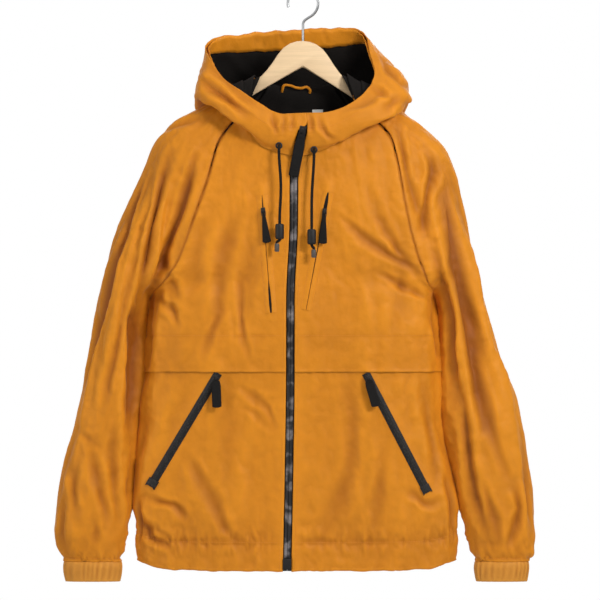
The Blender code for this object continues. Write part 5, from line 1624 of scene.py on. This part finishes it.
CORD, CORD_OUT, LOCK_Y, LOCK_HIGH = 4.4, 6.4, -77.0, 23.0
CORDS = {  # places (x, z) of the eyelet, the top of the lock and the top of the tip
    RIGHT: ((-36.0, -237.0), (-35.0, -354.0), (-39.0, -383.0)),
    LEFT: ((16.5, -243.0), (13.0, -362.0), (16.0, -392.0)),
}
CORD_WANDER = {RIGHT: 2.4, LEFT: -1.2}
CORD_CLEAR = 0.3  # the cord starts this far inside its eyelet's front
CORD_BEND = ((0.08, 0.0), (0.53, 0.5), (0.86, 2.6), (1.0, 6.0))  # share of CORD_OUT, and how far down
CORD_SIDES, BRAID_STEP, BRAID_HIGH, BRAID_LONG = 14, 0.8, 0.2, 7.0


def cord_route(side):
    """A cord's line: out of its eyelet, down through its lock and into its tip."""
    eye, lock, tip = CORDS[side]
    skin = float(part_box("eyelet_" + side)[1][1]) / MM + CORD_CLEAR
    out = skin - CORD_OUT
    path = [(eye[0], skin - share * CORD_OUT, eye[1] - drop) for share, drop in CORD_BEND]
    top, bottom = lock[1], lock[1] - LOCK_HIGH
    for t in np.linspace(0.12, 1, 8):
        ease = t * t * (3 - 2 * t)
        path.append((eye[0] + (lock[0] - eye[0]) * ease + CORD_WANDER[side] * math.sin(math.pi * t) ** 2,
                     out + (LOCK_Y - out) * ease, path[3][2] + (top + 3 - path[3][2]) * t))
    tip_y = LOCK_Y + 1
    path += [(lock[0], LOCK_Y, bottom - 0.8),
             ((lock[0] + tip[0]) / 2, (LOCK_Y + tip_y) / 2, (bottom + tip[1]) / 2),
             (tip[0], tip_y, tip[1] + 2), (tip[0], tip_y, tip[1])]
    return np.array(path)


def tube(name, path, spacing, radius, sides, relief=None, squash=1.0):
    """A round tube along a smooth path, with relief(angle, along) added to its radius."""
    line, steps = smooth_line(path, spacing)
    along = unit(np.gradient(line, axis=0))
    side = unit(np.cross(along, (0.0, 1.0, 0.0)))
    out = np.cross(side, along)
    turn = np.linspace(0, math.tau, sides, endpoint=False)
    r = np.full((len(line), sides), float(radius))
    if relief:
        r += relief(turn[None, :], steps[:, None])
    points = (line[:, None] + side[:, None] * (r * np.cos(turn))[..., None]
              + out[:, None] * (squash * r * np.sin(turn))[..., None])
    uvs = np.stack(np.broadcast_arrays(turn[None, :] * radius, steps[:, None]), 2)
    return tube_mesh(name, points.reshape(-1, 3), sides, uvs.reshape(-1, 2)), line, steps[-1]


def braid(turn, along):
    waves = math.tau * along / BRAID_LONG
    return BRAID_HIGH * (np.abs(np.sin(3 * turn + waves)) + np.abs(np.sin(3 * turn - waves)) - 1.6)


def make_drawcords():
    for side in SIDES:
        lock = hard_copy("cord_lock_" + side, "cord_lock_%s_barrel" % side, "black_plastic", soften=0.6)
        tip = hard_copy("cord_tip_" + side, "cord_tip_%s_cap" % side, "grey_plastic", soften=0.3)
        cord, line, long = tube("drawcord_%s_braid" % side, cord_route(side), BRAID_STEP, CORD / 2,
                                CORD_SIDES, braid)
        finish_piece(cord, "black_cord", "black_cord", "drawcord_" + side)
        hard_copy("eyelet_" + side, "eyelet_%s_ring" % side, "black_metal", soften=0.15)


LOOP_PLACES = ((-31.5, -156), (-31, -150), (-29, -144.5), (-20, -144.2), (-10, -147.5), (-2, -148.2),
               (6, -146.5), (10, -150), (9.5, -157))
LOOP_SUNK = (4.5, 1.5, 0, 0, 0, 0, 0, 1.5, 4.5)  # its ends go in at the lining
LOOP_STEP, LOOP_RADIUS, LOOP_SIDES, LOOP_SQUASH = 1.2, 2.0, 12, 0.7
LABEL_DOWN = (-4.0, 1.9, -8.5)  # the label hangs a little below its seam
LABEL_SHEET, LABEL_WAVE = 0.4, 0.25


def make_neck_details():
    """The hang loop, and the blank label below it."""
    spots = places_of(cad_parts["hang_loop"].data.vertices)
    path = []
    for (x, z), sunk in zip(LOOP_PLACES, LOOP_SUNK):
        near = np.hypot(spots[:, 0] - x, spots[:, 2] - z)
        path.append((x, spots[near < near.min() + 2.5, 1].mean() + sunk, z))
    loop, _, _ = tube("hang_loop_cloth", path, LOOP_STEP, LOOP_RADIUS, LOOP_SIDES, squash=LOOP_SQUASH)
    finish_piece(loop, "shell", "shell", "hang_loop")
    label = Cloth("neck_label", grid_of("neck_label", 4, 4, 0.9, "inside"), 0.8, "inside")
    label.points += LABEL_DOWN
    label.push(LABEL_WAVE * np.sin(label.top / 5.0) * np.sin(label.left / 4.0))
    sew(label, "neck_label_cloth", LABEL_SHEET, "label", "label", ("neck_label",))
    declare_cloth(label)


def make_hanger():
    hard_copy("hanger_wood", "hanger_arms", "wood", angle=28.0, soften=0.8)
    hard_copy("hook_wire", "hook_rod", "steel", angle=60.0)


def make_zip_box():
    hard_copy("zip_box", "zip_box_body", "black_plastic", soften=0.4)


def declare_all(cloths):
    """Work out each cloth's cut size, which is then dropped."""
    for node, cloth in cloths.items():
        declare_cloth(cloth)


# ---------------------------------------------------------------- main

set_camera()
FINISHES = make_finishes()
make_drawcords()
set_lamps()
set_sky()
lay_floor()
HOOD_SEAM = find_hood_seam()
SHELL = make_shell()
LINED = make_linings()
CUFFS = make_cuffs()
make_stitches(SHELL)
make_front_zip()
make_hand_pockets(Skin([SHELL[node] for node in SHELL if node.startswith("front_lower")]))
make_chest_pockets(Skin([SHELL[node] for node in SHELL if node.startswith("front")]))
make_pulls()
make_neck_details()
make_hanger()
make_zip_box()
declare_all({**SHELL, **LINED, **CUFFS})
